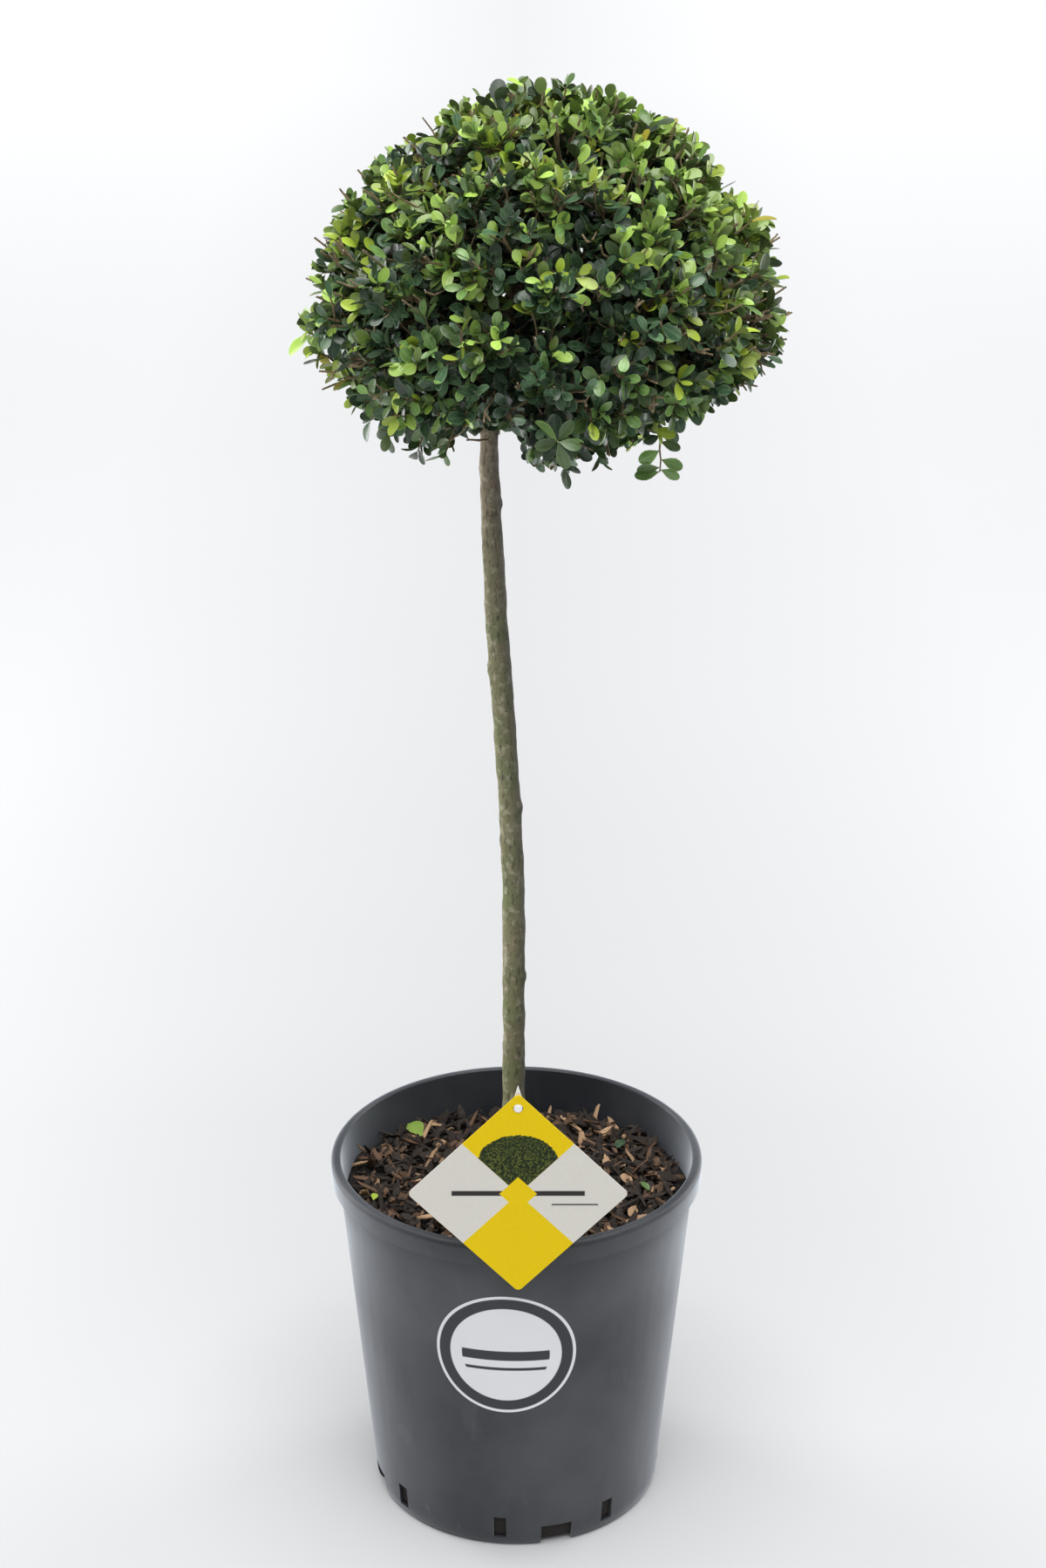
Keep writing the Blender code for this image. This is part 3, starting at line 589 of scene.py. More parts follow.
@dataclass(frozen=True)
class ChipFinish(Finish):
    """Shredded bark: fibrous, each chip its own shade."""

    name: str
    dark: Colour
    pale: Colour
    fibres: Marks = Marks(520.0, 4.0)
    stretch: Triple = (1.0, 0.35, 1.0)

    def paint(self, look: Shading) -> None:
        """Paints the chips."""
        fibre = look.cloud(look.place(self.stretch), self.fibres)
        share = look.between(look.plus(fibre, look.attribute("tint")), 0.65, 1.35)
        look.surface(Base_Color=look.blend(share, self.dark, self.pale))
        look.surface(Roughness=look.between(fibre, 0.3, 0.7, 0.70, 0.95))
        look.bump(fibre, 0.6, 0.0008)


@dataclass(frozen=True)
class CardFinish(Finish):
    """A coated label card, quartered in two plain colours, with a round green shrub and two rules.

    Its measures are shares of half its diagonal, from the card's middle.
    """

    name: str
    paper: Colour
    yellow: Colour
    ink: Colour
    centre: Vector
    side: float
    rules: tuple[tuple[Pair, Pair], ...] = (((-0.020, 0.030), (-0.60, 0.60)), ((-0.115, -0.10), (0.30, 0.72)))
    lozenge: float = 0.17
    shrub_rise: float = 0.30
    shrub_size: Pair = (0.37, 0.29)
    shrub_edge: Pair = (1.10, 1.14)
    ragged: float = 0.25
    tufts: Marks = Marks(500.0)
    shrub_dark: Colour = (0.010, 0.018, 0.006)
    shrub_light: Colour = (0.130, 0.160, 0.030)
    leaves: Marks = Marks(700.0, 3.0, 0.45, 0.70)
    fibres: Marks = Marks(600.0, strength=0.05)
    soft: float = 0.004

    def shrub(self, look: Shading, across: Socket, rise: Socket) -> Socket:
        """1 inside the printed shrub's round top and 0 outside it."""
        wide = look.maths("DIVIDE", across, self.shrub_size[0])
        tall = look.maths("DIVIDE", look.maths("SUBTRACT", rise, self.shrub_rise), self.shrub_size[1])
        tufted = look.times(look.cloud(look.place(), self.tufts), self.ragged)
        return look.between(look.plus(look.squares(wide, tall), tufted), *self.shrub_edge, 1.0, 0.0)

    def paint(self, look: Shading) -> None:
        """Paints the card."""
        where = look.add("ShaderNodeVectorMath", operation="SUBTRACT")
        look.feed(where.inputs[0], look.place())
        where.inputs[1].default_value = self.centre
        parts = look.split(where.outputs[0])
        half = self.side / math.sqrt(2)
        rise, across = (look.between(parts[axis], -half, half, -1.0, 1.0) for axis in "ZX")
        steep = look.maths("SUBTRACT", look.size(rise), look.size(across))
        quarter = look.between(steep, -self.soft, self.soft)
        colour = look.blend(quarter, self.paper, self.yellow)
        leafy = look.blend(look.marked(look.place(), self.leaves)[1], self.shrub_dark, self.shrub_light)
        colour = look.blend(look.times(quarter, self.shrub(look, across, rise)), colour, leafy)
        for heights, widths in self.rules:
            ink = look.times(look.span(rise, *heights, self.soft), look.span(across, *widths, self.soft))
            colour = look.blend(ink, colour, self.ink)
        near = look.plus(look.size(rise), look.size(across))
        colour = look.blend(look.below(near, self.lozenge, self.soft), colour, self.yellow)
        fibre, grubby = look.marked(look.place(), self.fibres)
        look.surface(Base_Color=look.blend(grubby, colour, self.ink), Specular_IOR_Level=0.15)
        look.surface(Roughness=look.between(fibre, 0.3, 0.7, 0.30, 0.40))
        look.bump(fibre, 0.08, 0.0002)


@dataclass(frozen=True)
class RoundPrintFinish(Finish):
    """Pale ink on plastic: a disc with a thin ring and two bands left bare."""

    name: str
    ink: Colour
    bare: Colour
    ring: Pair = (0.79, 0.955)
    bands: tuple[Pair, ...] = ((-0.10, 0.06), (-0.27, -0.22))
    band_reach: float = 0.62
    soft: float = 0.006
    grain: Marks = Marks(1500.0, 2.0)

    def paint(self, look: Shading) -> None:
        """Paints the print, which follows its own UV map."""
        parts = look.split(look.chart("print"))
        across, rise = (look.between(parts[axis], 0.0, 1.0, -1.0, 1.0) for axis in "XY")
        radius = look.maths("SQRT", look.squares(across, rise))
        gone = look.span(radius, *self.ring, self.soft)
        inside = look.below(radius, self.band_reach, self.soft)
        for band in self.bands:
            gone = look.maths("MAXIMUM", gone, look.times(look.span(rise, *band, self.soft), inside))
        grain = look.cloud(look.place(), self.grain)
        look.surface(Base_Color=look.blend(gone, self.ink, self.bare))
        look.surface(Roughness=look.between(grain, 0.3, 0.7, 0.42, 0.54))
        look.bump(grain, 0.15, 0.0002)


@dataclass(frozen=True)
class FloorFinish(Finish):
    """A pale studio floor with painted light and shade: lighter far off and to the sides, with painted shade down its
    middle and just behind the pot, and the faintest unevenness.
    """

    name: str
    # Painted light: the floor's colour runs from near to far, lighter far off.
    near: Colour
    far: Colour
    reach: Pair = (1.0, 5.5)
    # Painted shade behind the pot: darker down the floor's middle, and darker still just behind the pot.
    behind: Pair = (0.05, 0.60)
    painted_shadow_fade: Pair = (1.3, 2.6)
    half_width: float = 0.62
    painted_middle_shade: float = 0.12
    painted_shadow_behind_pot: float = 0.05
    clouds: Marks = Marks(0.8, 2.0)
    cloudy: float = 0.10

    def paint(self, look: Shading) -> None:
        """Paints the floor, with its painted light far off and its painted shade near the plant."""
        where = look.place()
        place = look.split(where)
        # Painted light: lighter far off.
        colour = look.blend(look.between(place["Y"], *self.reach), self.near, self.far)
        # Painted shade down the middle behind the pot, and a painted shadow just behind it.
        start = look.between(place["Y"], *self.behind)
        painted_shadow_share = look.times(start, look.between(place["Y"], *self.painted_shadow_fade, self.painted_shadow_behind_pot, 0.0))
        painted_middle_shading = look.between(look.size(place["X"]), 0.0, self.half_width, self.painted_middle_shade, 0.0)
        level = look.maths("SUBTRACT", 1.0, look.plus(look.times(start, painted_middle_shading), painted_shadow_share))
        cloud = look.times(look.cloud(where, self.clouds), self.cloudy)
        look.surface(Base_Color=look.blend(cloud, look.lit(colour, level), self.far), Roughness=0.65)


BARK = BarkFinish(
    "stem_bark",
    base=(0.175, 0.155, 0.088),
    bloom=(0.130, 0.145, 0.066),
    pale=(0.36, 0.33, 0.24),
    fleck=(0.034, 0.029, 0.020),
    bare=(0.200, 0.162, 0.112),
)
TWIG_BARK = BarkFinish(
    "twig_bark",
    base=(0.175, 0.120, 0.078),
    bloom=(0.095, 0.070, 0.048),
    pale=(0.44, 0.34, 0.22),
    fleck=(0.040, 0.028, 0.018),
    bare=(0.225, 0.168, 0.090),
    # The twigs carry no painted light or shade.
    painted_shade_level=1.0,
    painted_light_level=1.0,
)
POT_PLASTIC = PlasticFinish("pot_plastic", (0.022, 0.025, 0.031), (0.13, 0.135, 0.145), 0.42, 0.40, 0.46)
WHITE_PLASTIC = PlasticFinish("stick_plastic", (0.92, 0.92, 0.90), (0.55, 0.54, 0.50), 0.35, 0.10, 0.0, 0.1)
ROUND_PRINT = RoundPrintFinish("round_print", (0.80, 0.81, 0.83), (0.022, 0.026, 0.033))
SOIL = ChipFinish("compost", (0.012, 0.009, 0.007), (0.050, 0.032, 0.020))
STUDIO_FLOOR = FloorFinish("studio_floor", (0.580, 0.584, 0.592), (0.790, 0.794, 0.804))


# ---- pot


def straight(start: Pair, end: Pair, shares: Iterable[float]) -> list[Pair]:
    """The points at some shares of a straight line."""
    return [tuple(np.array(start) * (1 - share) + np.array(end) * share) for share in shares]


@dataclass
class Pot:
    """The round pot: a thin wall, a folded collar, slots and notches through its foot."""

    rim_radius: float = 0.150
    height: float = 0.300
    wall: float = 0.0025
    collar_height: float = 0.018
    collar_draft: float = 0.0007
    rim_rounding: float = 0.005
    rim_edge: float = 0.001
    neck_radius: float = 0.143
    foot_radius: float = 0.118
    foot_height: float = 0.018
    base_radius: float = 0.112
    steps: int = 192
    arc_steps: int = 9
    wall_rows: int = 6
    slots: int = 8
    slot_size: Triple = (0.0105, 0.009, 0.029)
    slot_start: float = math.radians(-96.6)
    notches: int = 4
    notch_size: Pair = (0.026, 0.019)
    notch_start: float = math.radians(-73.8)
    cut_depth: float = 0.030
    sharp_angle: float = math.radians(32)

    def wall_radius(self, height: float) -> float:
        """The outer radius of the straight wall at a height."""
        share = (height - self.foot_height) / (self.height - self.collar_height - self.foot_height)
        return self.foot_radius + share * (self.neck_radius - self.foot_radius)

    def outside_radius(self, height: float) -> float:
        """The radius of the wall's built outer face at a height, below the collar."""
        under_rim = self.height - self.wall
        share = (height - self.foot_height) / (under_rim - self.rim_rounding / 2 - self.foot_height)
        return self.foot_radius + share * (self.wall_radius(under_rim) - self.foot_radius)

    def foot_arc(self, inset: float) -> list[Pair]:
        """The rounded foot from the wall down to the base, drawn in by an inset."""
        wide, high = self.foot_radius - self.base_radius, inset - self.foot_height
        turns = np.linspace(0, math.pi / 2, self.arc_steps)
        middle = self.base_radius - inset
        return [(middle + wide * math.cos(t), self.foot_height + high * math.sin(t)) for t in turns]

    def profile(self) -> list[Pair]:
        """The wall's section as (radius, height) points.

        Returns:
            The points, up the inside, over the collar and down the outside.
        """
        collar_foot = self.height - self.collar_height
        under_rim = self.height - self.wall
        neck = self.wall_radius(under_rim)
        rows = np.linspace(0, 1, self.wall_rows)
        floor = [(0.0, self.wall)] + self.foot_arc(self.wall)[::-1]
        inside = straight(floor[-1], (neck - self.wall, self.height - self.rim_edge), rows[1:])
        lip = [(neck - self.wall + self.rim_edge, self.height)]
        turns = np.linspace(0, math.pi / 2, self.arc_steps)
        bend = self.rim_rounding
        rim = [(self.rim_radius - bend * (1 - math.sin(t)), self.height - bend * (1 - math.cos(t))) for t in turns]
        turned_in = under_rim - self.rim_rounding / 2
        collar = [
            (self.rim_radius - self.collar_draft, collar_foot),
            (self.rim_radius - self.collar_draft - self.wall, collar_foot),
            (self.rim_radius - self.wall, turned_in),
            (neck, turned_in),
        ]
        foot = self.foot_arc(0.0)
        outside = straight(collar[-1], foot[0], rows[1:-1])
        return floor + inside + lip + rim + collar + outside + foot + [(0.0, 0.0)]

    def turned(self) -> Object:
        """The shell with no openings, turned about Z.

        Returns:
            The closed shell.
        """
        form = bmesh.new()
        points = [form.verts.new((radius, 0.0, height)) for radius, height in self.profile()]
        edges = [form.edges.new(pair) for pair in zip(points, points[1:])]
        around = {"axis": UP, "cent": (0, 0, 0), "steps": self.steps, "angle": math.tau, "use_merge": True}
        bmesh.ops.spin(form, geom=points + edges, **around)
        bmesh.ops.remove_doubles(form, verts=form.verts, dist=TINY)
        bmesh.ops.recalc_face_normals(form, faces=form.faces)
        return from_form("pot_shell", form)

    def openings(self) -> Object:
        """All slots and notches as one cutter.

        Returns:
            The cutter, in one mesh.
        """
        width, low, high = self.slot_size
        notch_width, notch_height = self.notch_size
        cuts = (
            (self.slots, self.slot_start, width, low, high),
            (self.notches, self.notch_start, notch_width, -self.foot_height, notch_height),
        )
        form = bmesh.new()
        for count, start, wide, bottom, top in cuts:
            size = Matrix.Diagonal((self.cut_depth, wide, top - bottom, 1.0))
            middle = Matrix.Translation((self.foot_radius, 0.0, (bottom + top) / 2))
            for index in range(count):
                turn = Matrix.Rotation(start + index * math.tau / count, 4, "Z")
                bmesh.ops.create_cube(form, size=1.0, matrix=turn @ middle @ size)
        return from_form("pot_openings", form)

    def build(self) -> None:
        """Builds the pot's shell and hands it over."""
        shell = self.turned()
        cutter = self.openings()
        cut = shell.modifiers.new("openings", "BOOLEAN")
        cut.operation = "DIFFERENCE"
        cut.object = cutter
        cut.solver = "EXACT"
        pot = smoothed(plain(shell, "pot_wall"), self.sharp_angle)
        bpy.data.objects.remove(cutter)
        hand_over(dress(pot, POT_PLASTIC.material()), ["pot"])


@dataclass
class PotPrint:
    """A plain round print on the pot's front: a pale disc with a thin ring and two bare bands."""

    pot: Pot
    radius: float = 0.0565
    middle: float = 0.1934
    turn: float = math.radians(-93.6)
    proud: float = 0.00018
    rings: int = 14
    spokes: int = 96

    def on_wall(self, across: float, rise: float) -> Vector:
        """A place on the disc, laid just clear of the pot's wall.

        Args:
            across: how far it is from the disc's middle line.
            rise: how far it is above the disc's middle.

        Returns:
            The place.
        """
        height = self.middle + rise
        radius = self.pot.outside_radius(height)
        angle = self.turn + across / radius
        out = radius + self.proud
        return Vector((out * math.cos(angle), out * math.sin(angle), height))

    def build(self) -> None:
        """Builds the print as a thin closed skin and hands it over."""
        form = bmesh.new()
        uv = form.loops.layers.uv.new("print")
        flat = {}

        def corner(radius: float, turn: float) -> BMVert:
            """A vertex of the skin, with its place on the flat disc noted."""
            across, rise = radius * math.cos(turn), radius * math.sin(turn)
            vertex = form.verts.new(self.on_wall(across, rise))
            flat[vertex] = (0.5 + across / self.radius / 2, 0.5 + rise / self.radius / 2)
            return vertex

        turns = [math.tau * spoke / self.spokes for spoke in range(self.spokes)]
        middle = corner(0.0, 0.0)
        shares = np.linspace(0, 1, self.rings + 1)[1:]
        face_disc(form, middle, [[corner(self.radius * share, turn) for turn in turns] for share in shares])
        for face in form.faces:
            for loop in face.loops:
                loop[uv].uv = flat[loop.vert]
        skin = from_form("pot_print_skin", form)
        depth = skin.modifiers.new("depth", "SOLIDIFY")
        depth.thickness = self.proud
        depth.offset = -1.0
        piece = smoothed(plain(skin, "pot_print"), self.pot.sharp_angle)
        hand_over(dress(piece, ROUND_PRINT.material()))


# ---- compost


@dataclass
class Compost:
    """The bark compost: a lumpy bed, with chips strewn over it. The crown lays a few fallen leaves on it."""

    pot: Pot
    gap: float = 0.0003
    level: float = 0.262
    flat_radius: float = 0.022
    slope: float = 0.045
    lump: float = 0.006
    lumps_a_metre: float = 28.0
    lump_slice: float = 3.0
    heap: float = 0.007
    back_share: float = 0.6
    rings: int = 44
    spokes: int = 144
    crumb: float = 0.0022
    crumbs_a_metre: float = 170.0
    strewn_inset: float = 0.009
    strewn_segments: int = 64
    strewn_cuts: int = 7
    chip_kinds: tuple[tuple[str, Colour, Colour, float, float], ...] = (
        ("chips_black", (0.005, 0.004, 0.003), (0.024, 0.016, 0.011), 46000.0, 0.90),
        ("chips_brown", (0.022, 0.013, 0.008), (0.130, 0.072, 0.040), 12000.0, 0.95),
        ("chips_tan", (0.110, 0.062, 0.032), (0.470, 0.300, 0.172), 5600.0, 1.0),
    )
    chip_sizes: tuple[Triple, ...] = (
        (0.0185, 0.0026, 0.0016),
        (0.0120, 0.0048, 0.0016),
        (0.0080, 0.0052, 0.0014),
        (0.0050, 0.0026, 0.0020),
    )
    chip_draws: tuple[Pair, ...] = ((0.8, 1.2), (0.7, 1.3), (0.5, 1.4))
    chip_narrowing: float = 0.35
    chip_tilt: float = 0.9
    chip_scales: Pair = (0.30, 1.45)
    chip_rise: float = 0.009
    seed: int = 12

    def surface(self, x: float, y: float) -> float:
        """The bed's height: level round the stem's foot, lumpy and heaped to the sides."""
        away = smooth_step((math.hypot(x, y) - self.flat_radius) / self.slope)
        lump = noise.noise(Vector((x * self.lumps_a_metre, y * self.lumps_a_metre, self.lump_slice)))
        heap = (abs(x) - self.back_share * max(y, 0.0)) / self.pot.neck_radius
        return self.level + away * (self.lump * lump + self.heap * heap)

    def bed(self) -> Object:
        """The bed as a closed solid that fills the pot.

        Returns:
            The bed, whose top is crumbled finely.
        """
        clear = self.pot.wall + self.gap
        reach = self.pot.wall_radius(self.level) - clear
        turns = [math.tau * spoke / self.spokes for spoke in range(self.spokes)]
        form = bmesh.new()
        middle = form.verts.new((0.0, 0.0, self.surface(0.0, 0.0)))
        rings = []
        for ring in range(1, self.rings + 1):
            row = []
            for turn in turns:
                radius = reach * ring / self.rings
                x, y = radius * math.cos(turn), radius * math.sin(turn)
                height = self.surface(x, y)
                crumb = noise.noise(Vector((x, y, 0.0)) * self.crumbs_a_metre) if ring < self.rings else 0.0
                limit = min((self.pot.wall_radius(height) - clear) / reach, 1.0)
                row.append(form.verts.new((x * limit, y * limit, height + self.crumb * crumb)))
            rings.append(row)
        for radius, height in self.pot.foot_arc(clear):
            rings.append([form.verts.new((radius * math.cos(t), radius * math.sin(t), height)) for t in turns])
        face_disc(form, middle, rings)
        bottom = form.verts.new((0.0, 0.0, clear))
        for vertex, after in zip(rings[-1], rings[-1][1:] + rings[-1][:1]):
            form.faces.new((bottom, after, vertex))
        bmesh.ops.recalc_face_normals(form, faces=form.faces)
        return from_form("compost_bed", form)

    def chip(self, name: str, size: Triple, draw: random.Random) -> Object:
        """Cuts one rough chip of a few dozen faces, narrower to its ends.

        Args:
            name: the object's name.
            size: its length, width and depth.
            draw: draws how rough it is.

        Returns:
            The chip.
        """
        form = bmesh.new()
        bmesh.ops.create_cube(form, size=1.0)
        bmesh.ops.subdivide_edges(form, edges=form.edges[:], cuts=1, use_grid_fill=True)
        for vertex in form.verts:
            narrow = 1.0 - self.chip_narrowing * abs(vertex.co.x) * 2
            shares = (1.0, narrow, narrow)
            vertex.co = Vector(
                [
                    at * measure * share * draw.uniform(*limits)
                    for at, measure, share, limits in zip(vertex.co, size, shares, self.chip_draws)
                ]
            )
        return from_form(name, form)

    def scatter(self) -> Growth:
        """The tree that strews chips over the bed.

        Returns:
            The tree.
        """
        sizes = {"Density": "Float", "Size": "Float", "Rise": "Float"}
        tree = Growth("strewn_chips", Chips="Collection", **sizes, Seed="Int", Finish="Material")
        given, unit = tree.given, (0.0, 1.0)
        values = {"Mesh": given["Geometry"], "Density": given["Density"], "Seed": given["Seed"]}
        spread = tree.add("GeometryNodeDistributePointsOnFaces", values).outputs["Points"]
        lift = {"Z": tree.times(tree.drawn(*unit), given["Rise"])}
        values = {"Geometry": spread, "Offset": tree.add("ShaderNodeCombineXYZ", lift).outputs[0]}
        moved = tree.add("GeometryNodeSetPosition", values).outputs["Geometry"]
        values = {"Geometry": moved, "Name": "tint", "Value": tree.drawn(*unit)}
        marked = tree.add("GeometryNodeStoreNamedAttribute", values, data_type="FLOAT", domain="POINT")
        tilt = self.chip_tilt
        turn = tree.drawn((-tilt, -tilt, 0.0), (tilt, tilt, math.tau), "FLOAT_VECTOR")
        size = tree.times(tree.drawn(*self.chip_scales), given["Size"])
        form = tree.drawn(0, len(self.chip_sizes) - 1, "INT")
        tree.put(marked.outputs["Geometry"], given["Chips"], form, turn, size)
        return tree

    def top_only(self) -> Object:
        """The bed's top as an open sheet inside the wall, which the chips are strewn on.

        Returns:
            The open sheet.
        """
        form = bmesh.new()
        reach = self.pot.wall_radius(self.level) - self.strewn_inset
        bmesh.ops.create_circle(form, cap_ends=True, cap_tris=True, segments=self.strewn_segments, radius=reach)
        bmesh.ops.subdivide_edges(form, edges=form.edges[:], cuts=self.strewn_cuts, use_grid_fill=True)
        for vertex in form.verts:
            vertex.co.z = self.surface(vertex.co.x, vertex.co.y)
        return from_form("compost_top", form)

    def build(self) -> None:
        """Builds the bed and its chips, and hands them over."""
        hand_over(dress(smoothed(self.bed()), SOIL.material()), ["soil"])
        draw = random.Random(self.seed)
        chips = [self.chip(f"chip_{index}", size, draw) for index, size in enumerate(self.chip_sizes)]
        sizes = {"Chips": set_aside("chip_forms", chips), "Rise": self.chip_rise}
        tree = self.scatter()
        for index, (name, dark, pale, density, size) in enumerate(self.chip_kinds):
            sizes |= {"Density": density, "Size": size, "Seed": self.seed + index}
            finish = ChipFinish(name, dark, pale).material()
            hand_over(tree.run(self.top_only(), name, **sizes, Finish=finish))


# ---- stem and limbs


@dataclass
class Knot:
    """The scar of a side shoot that was cut off flush: a swelling with a sunk middle."""

    along: float
    turn: float
    height: float
    width: float
    eye_share: float = 0.42
    eye_fall: float = 6.0
    widths: float = 3.0

    def rise(self, along: float, turn: float, radius: float) -> float:
        """How far it lifts the bark at a distance up the limb and an angle round it.

        Args:
            along: the distance.
            turn: the angle.
            radius: the limb's radius there.

        Returns:
            The lift.
        """
        near = (along - self.along) / self.width
        if abs(near) >= self.widths:
            return 0.0
        off = math.remainder(turn - self.turn, math.tau) * radius / self.width
        reach = near * near + off * off
        return self.height * (math.exp(-reach) - self.eye_share * math.exp(-self.eye_fall * reach))


@dataclass
class Limb:
    """A tapering limb with bark relief along a smooth line.

    Its sides keep to the given radii but for the relief: waves, ridges and knots.
    """

    path: Line
    radii: list[float]
    sides: int
    spacing: float
    wave: float
    knots: list[Knot] = field(default_factory=list)
    waves_a_metre: float = 60.0
    ridge_height: float = 0.35
    ridge_share: float = 0.35
    ridges_a_metre: float = 420.0

    def resampled(self) -> tuple[np.ndarray, np.ndarray]:
        """Even stations along the line.

        Returns:
            The stations' places and their radii.
        """
        points = np.array([tuple(point) for point in self.path])
        runs = np.r_[0.0, np.cumsum(np.linalg.norm(np.diff(points, axis=0), axis=1))]
        at = np.linspace(0.0, runs[-1], max(int(runs[-1] / self.spacing), 4))
        smooth = np.stack([np.interp(at, runs, points[:, axis]) for axis in range(3)], axis=1)
        return smooth, np.interp(at, runs, self.radii)

    def relief(self, place: Vector, out: Vector, radius: float) -> float:
        """The waves and ridges of the bark at one point."""
        broad = noise.noise(place * self.waves_a_metre)
        ridged = Vector((place.x, place.y, place.z * self.ridge_share)) + out * radius
        return self.wave * (broad + self.ridge_height * noise.noise(ridged * self.ridges_a_metre))

    def form(self) -> BMesh:
        """The limb as a closed bmesh.

        Returns:
            The limb, with flat ends.
        """
        stations, radii = self.resampled()
        ways = [Vector(way).normalized() for way in np.gradient(stations, axis=0)]
        form = bmesh.new()
        side = ways[0].orthogonal().normalized()
        along, rings = 0.0, []
        for index, (station, way, radius) in enumerate(zip(stations, ways, radii)):
            side = (side - way * side.dot(way)).normalized()
            across = way.cross(side)
            if index:
                along += float(np.linalg.norm(stations[index] - stations[index - 1]))
            ring = []
            for step in range(self.sides):
                turn = math.tau * step / self.sides
                out = side * math.cos(turn) + across * math.sin(turn)
                place = Vector(station) + out * radius
                rise = self.relief(place, out, radius)
                for knot in self.knots:
                    rise += knot.rise(along, turn, radius)
                ring.append(form.verts.new(place + out * rise))
            rings.append(ring)
        for lower, upper in zip(rings, rings[1:]):
            for step in range(self.sides):
                after = (step + 1) % self.sides
                form.faces.new((lower[step], lower[after], upper[after], upper[step]))
        form.faces.new(rings[0][::-1])
        form.faces.new(rings[-1])
        return form


@dataclass
class Stem:
    """The stem: upright from the compost, then leaning to the left, and back under the ball."""

    soil_level: float = 0.262
    gap: float = 0.0003
    foot_x: float = -0.002
    lean: float = 0.0175
    lean_span: Pair = (0.50, 0.90)
    head_return: float = 0.022
    return_span: Pair = (0.90, 1.06)
    sway: float = 0.003
    tip: float = 1.045
    sizes: tuple[Pair, ...] = ((0.262, 0.0090), (0.770, 0.0083), (0.885, 0.0070), (1.045, 0.0042))
    flare: float = 0.0035
    flare_fall: float = 0.012
    stations: int = 200
    sides: int = 60
    spacing: float = 0.0017
    wave: float = 0.0009
    knots: int = 22
    knot_start: float = 0.02
    knot_reach: float = 0.86
    knot_draw: Pair = (0.25, 0.75)
    knot_turn: float = 0.4
    knot_heights: Pair = (0.0012, 0.0024)
    knot_widths: Pair = (0.0032, 0.0060)
    bough_sides: int = 14
    bough_spacing: float = 0.0020
    bough_wave: float = 0.0004
    bough_waves_a_metre: float = 110.0
    seed: int = 7

    def point(self, height: float) -> Vector:
        """The middle of the stem at a height.

        Args:
            height: the height.

        Returns:
            The middle there.
        """
        start, end = self.lean_span
        lean = self.lean * smooth_step((height - start) / (end - start))
        low, high = self.return_span
        back = self.head_return * smooth_step((height - low) / (high - low))
        rise = smooth_step((height - self.soil_level) / (end - self.soil_level))
        return Vector((self.foot_x - lean + back, self.sway * math.sin(math.pi * rise), height))

    def radius(self, height: float) -> float:
        """The stem's radius at a height, with the root flare at its foot."""
        heights, radii = zip(*self.sizes)
        flare = self.flare * math.exp(-(height - self.soil_level) / self.flare_fall)
        return float(np.interp(height, heights, radii)) + flare

    def painted_light_share(self, place: Vector) -> float:
        """How far a point lies on the stem's left side, which the bark paints lighter as if lit: 1 there and 0 on the
        right side, which it paints darker as if shaded.
        """
        off = place - self.point(place.z)
        return 0.5 - 0.5 * off.x / max(math.hypot(off.x, off.y), TINY)

    def scars(self) -> list[Knot]:
        """The knots up the stem, turned round it by the golden angle.

        Returns:
            The knots, unevenly spaced.
        """
        draw = random.Random(self.seed)
        length = self.tip - self.soil_level
        marks = []
        for index in range(self.knots):
            along = length * (index + draw.uniform(*self.knot_draw)) / self.knots * self.knot_reach
            turn = index * GOLDEN_ANGLE + draw.uniform(-self.knot_turn, self.knot_turn)
            size = draw.uniform(*self.knot_heights), draw.uniform(*self.knot_widths)
            marks.append(Knot(along + self.knot_start, turn, *size))
        return marks

    def build(self, boughs: list[tuple[Line, list[float]]]) -> None:
        """Builds the stem and the boughs with their bark, and hands them over.

        Args:
            boughs: each bough's line, from inside the stem to its tip, and the radii along it.
        """
        heights = np.linspace(self.soil_level + self.gap, self.tip, self.stations)
        path = [self.point(height) for height in heights]
        radii = [self.radius(height) for height in heights]
        trunk = Limb(path, radii, self.sides, self.spacing, self.wave, self.scars())
        bark = BARK.material()
        stem = smoothed(from_form("stem_bark", trunk.form()))
        # Each vertex's share of painted light: the stem's left side is painted lit, its right side shaded.
        mark(stem, "painted_side_light", [self.painted_light_share(vertex.co) for vertex in stem.data.vertices])
        hand_over(dress(stem, bark), ["trunk"])
        joined = bmesh.new()
        measures = (self.bough_sides, self.bough_spacing, self.bough_wave)
        for path, radii in boughs:
            join(joined, Limb(path, radii, *measures, waves_a_metre=self.bough_waves_a_metre).form())
        limbs = smoothed(from_form("bough_bark", joined))
        # The boughs take the middle share, a little painted light all round.
        mark(limbs, "painted_side_light", [0.5] * len(limbs.data.vertices))
        names = sorted(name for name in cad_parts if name.startswith("bough_"))
        hand_over(dress(limbs, bark), names)


# ---- the ball


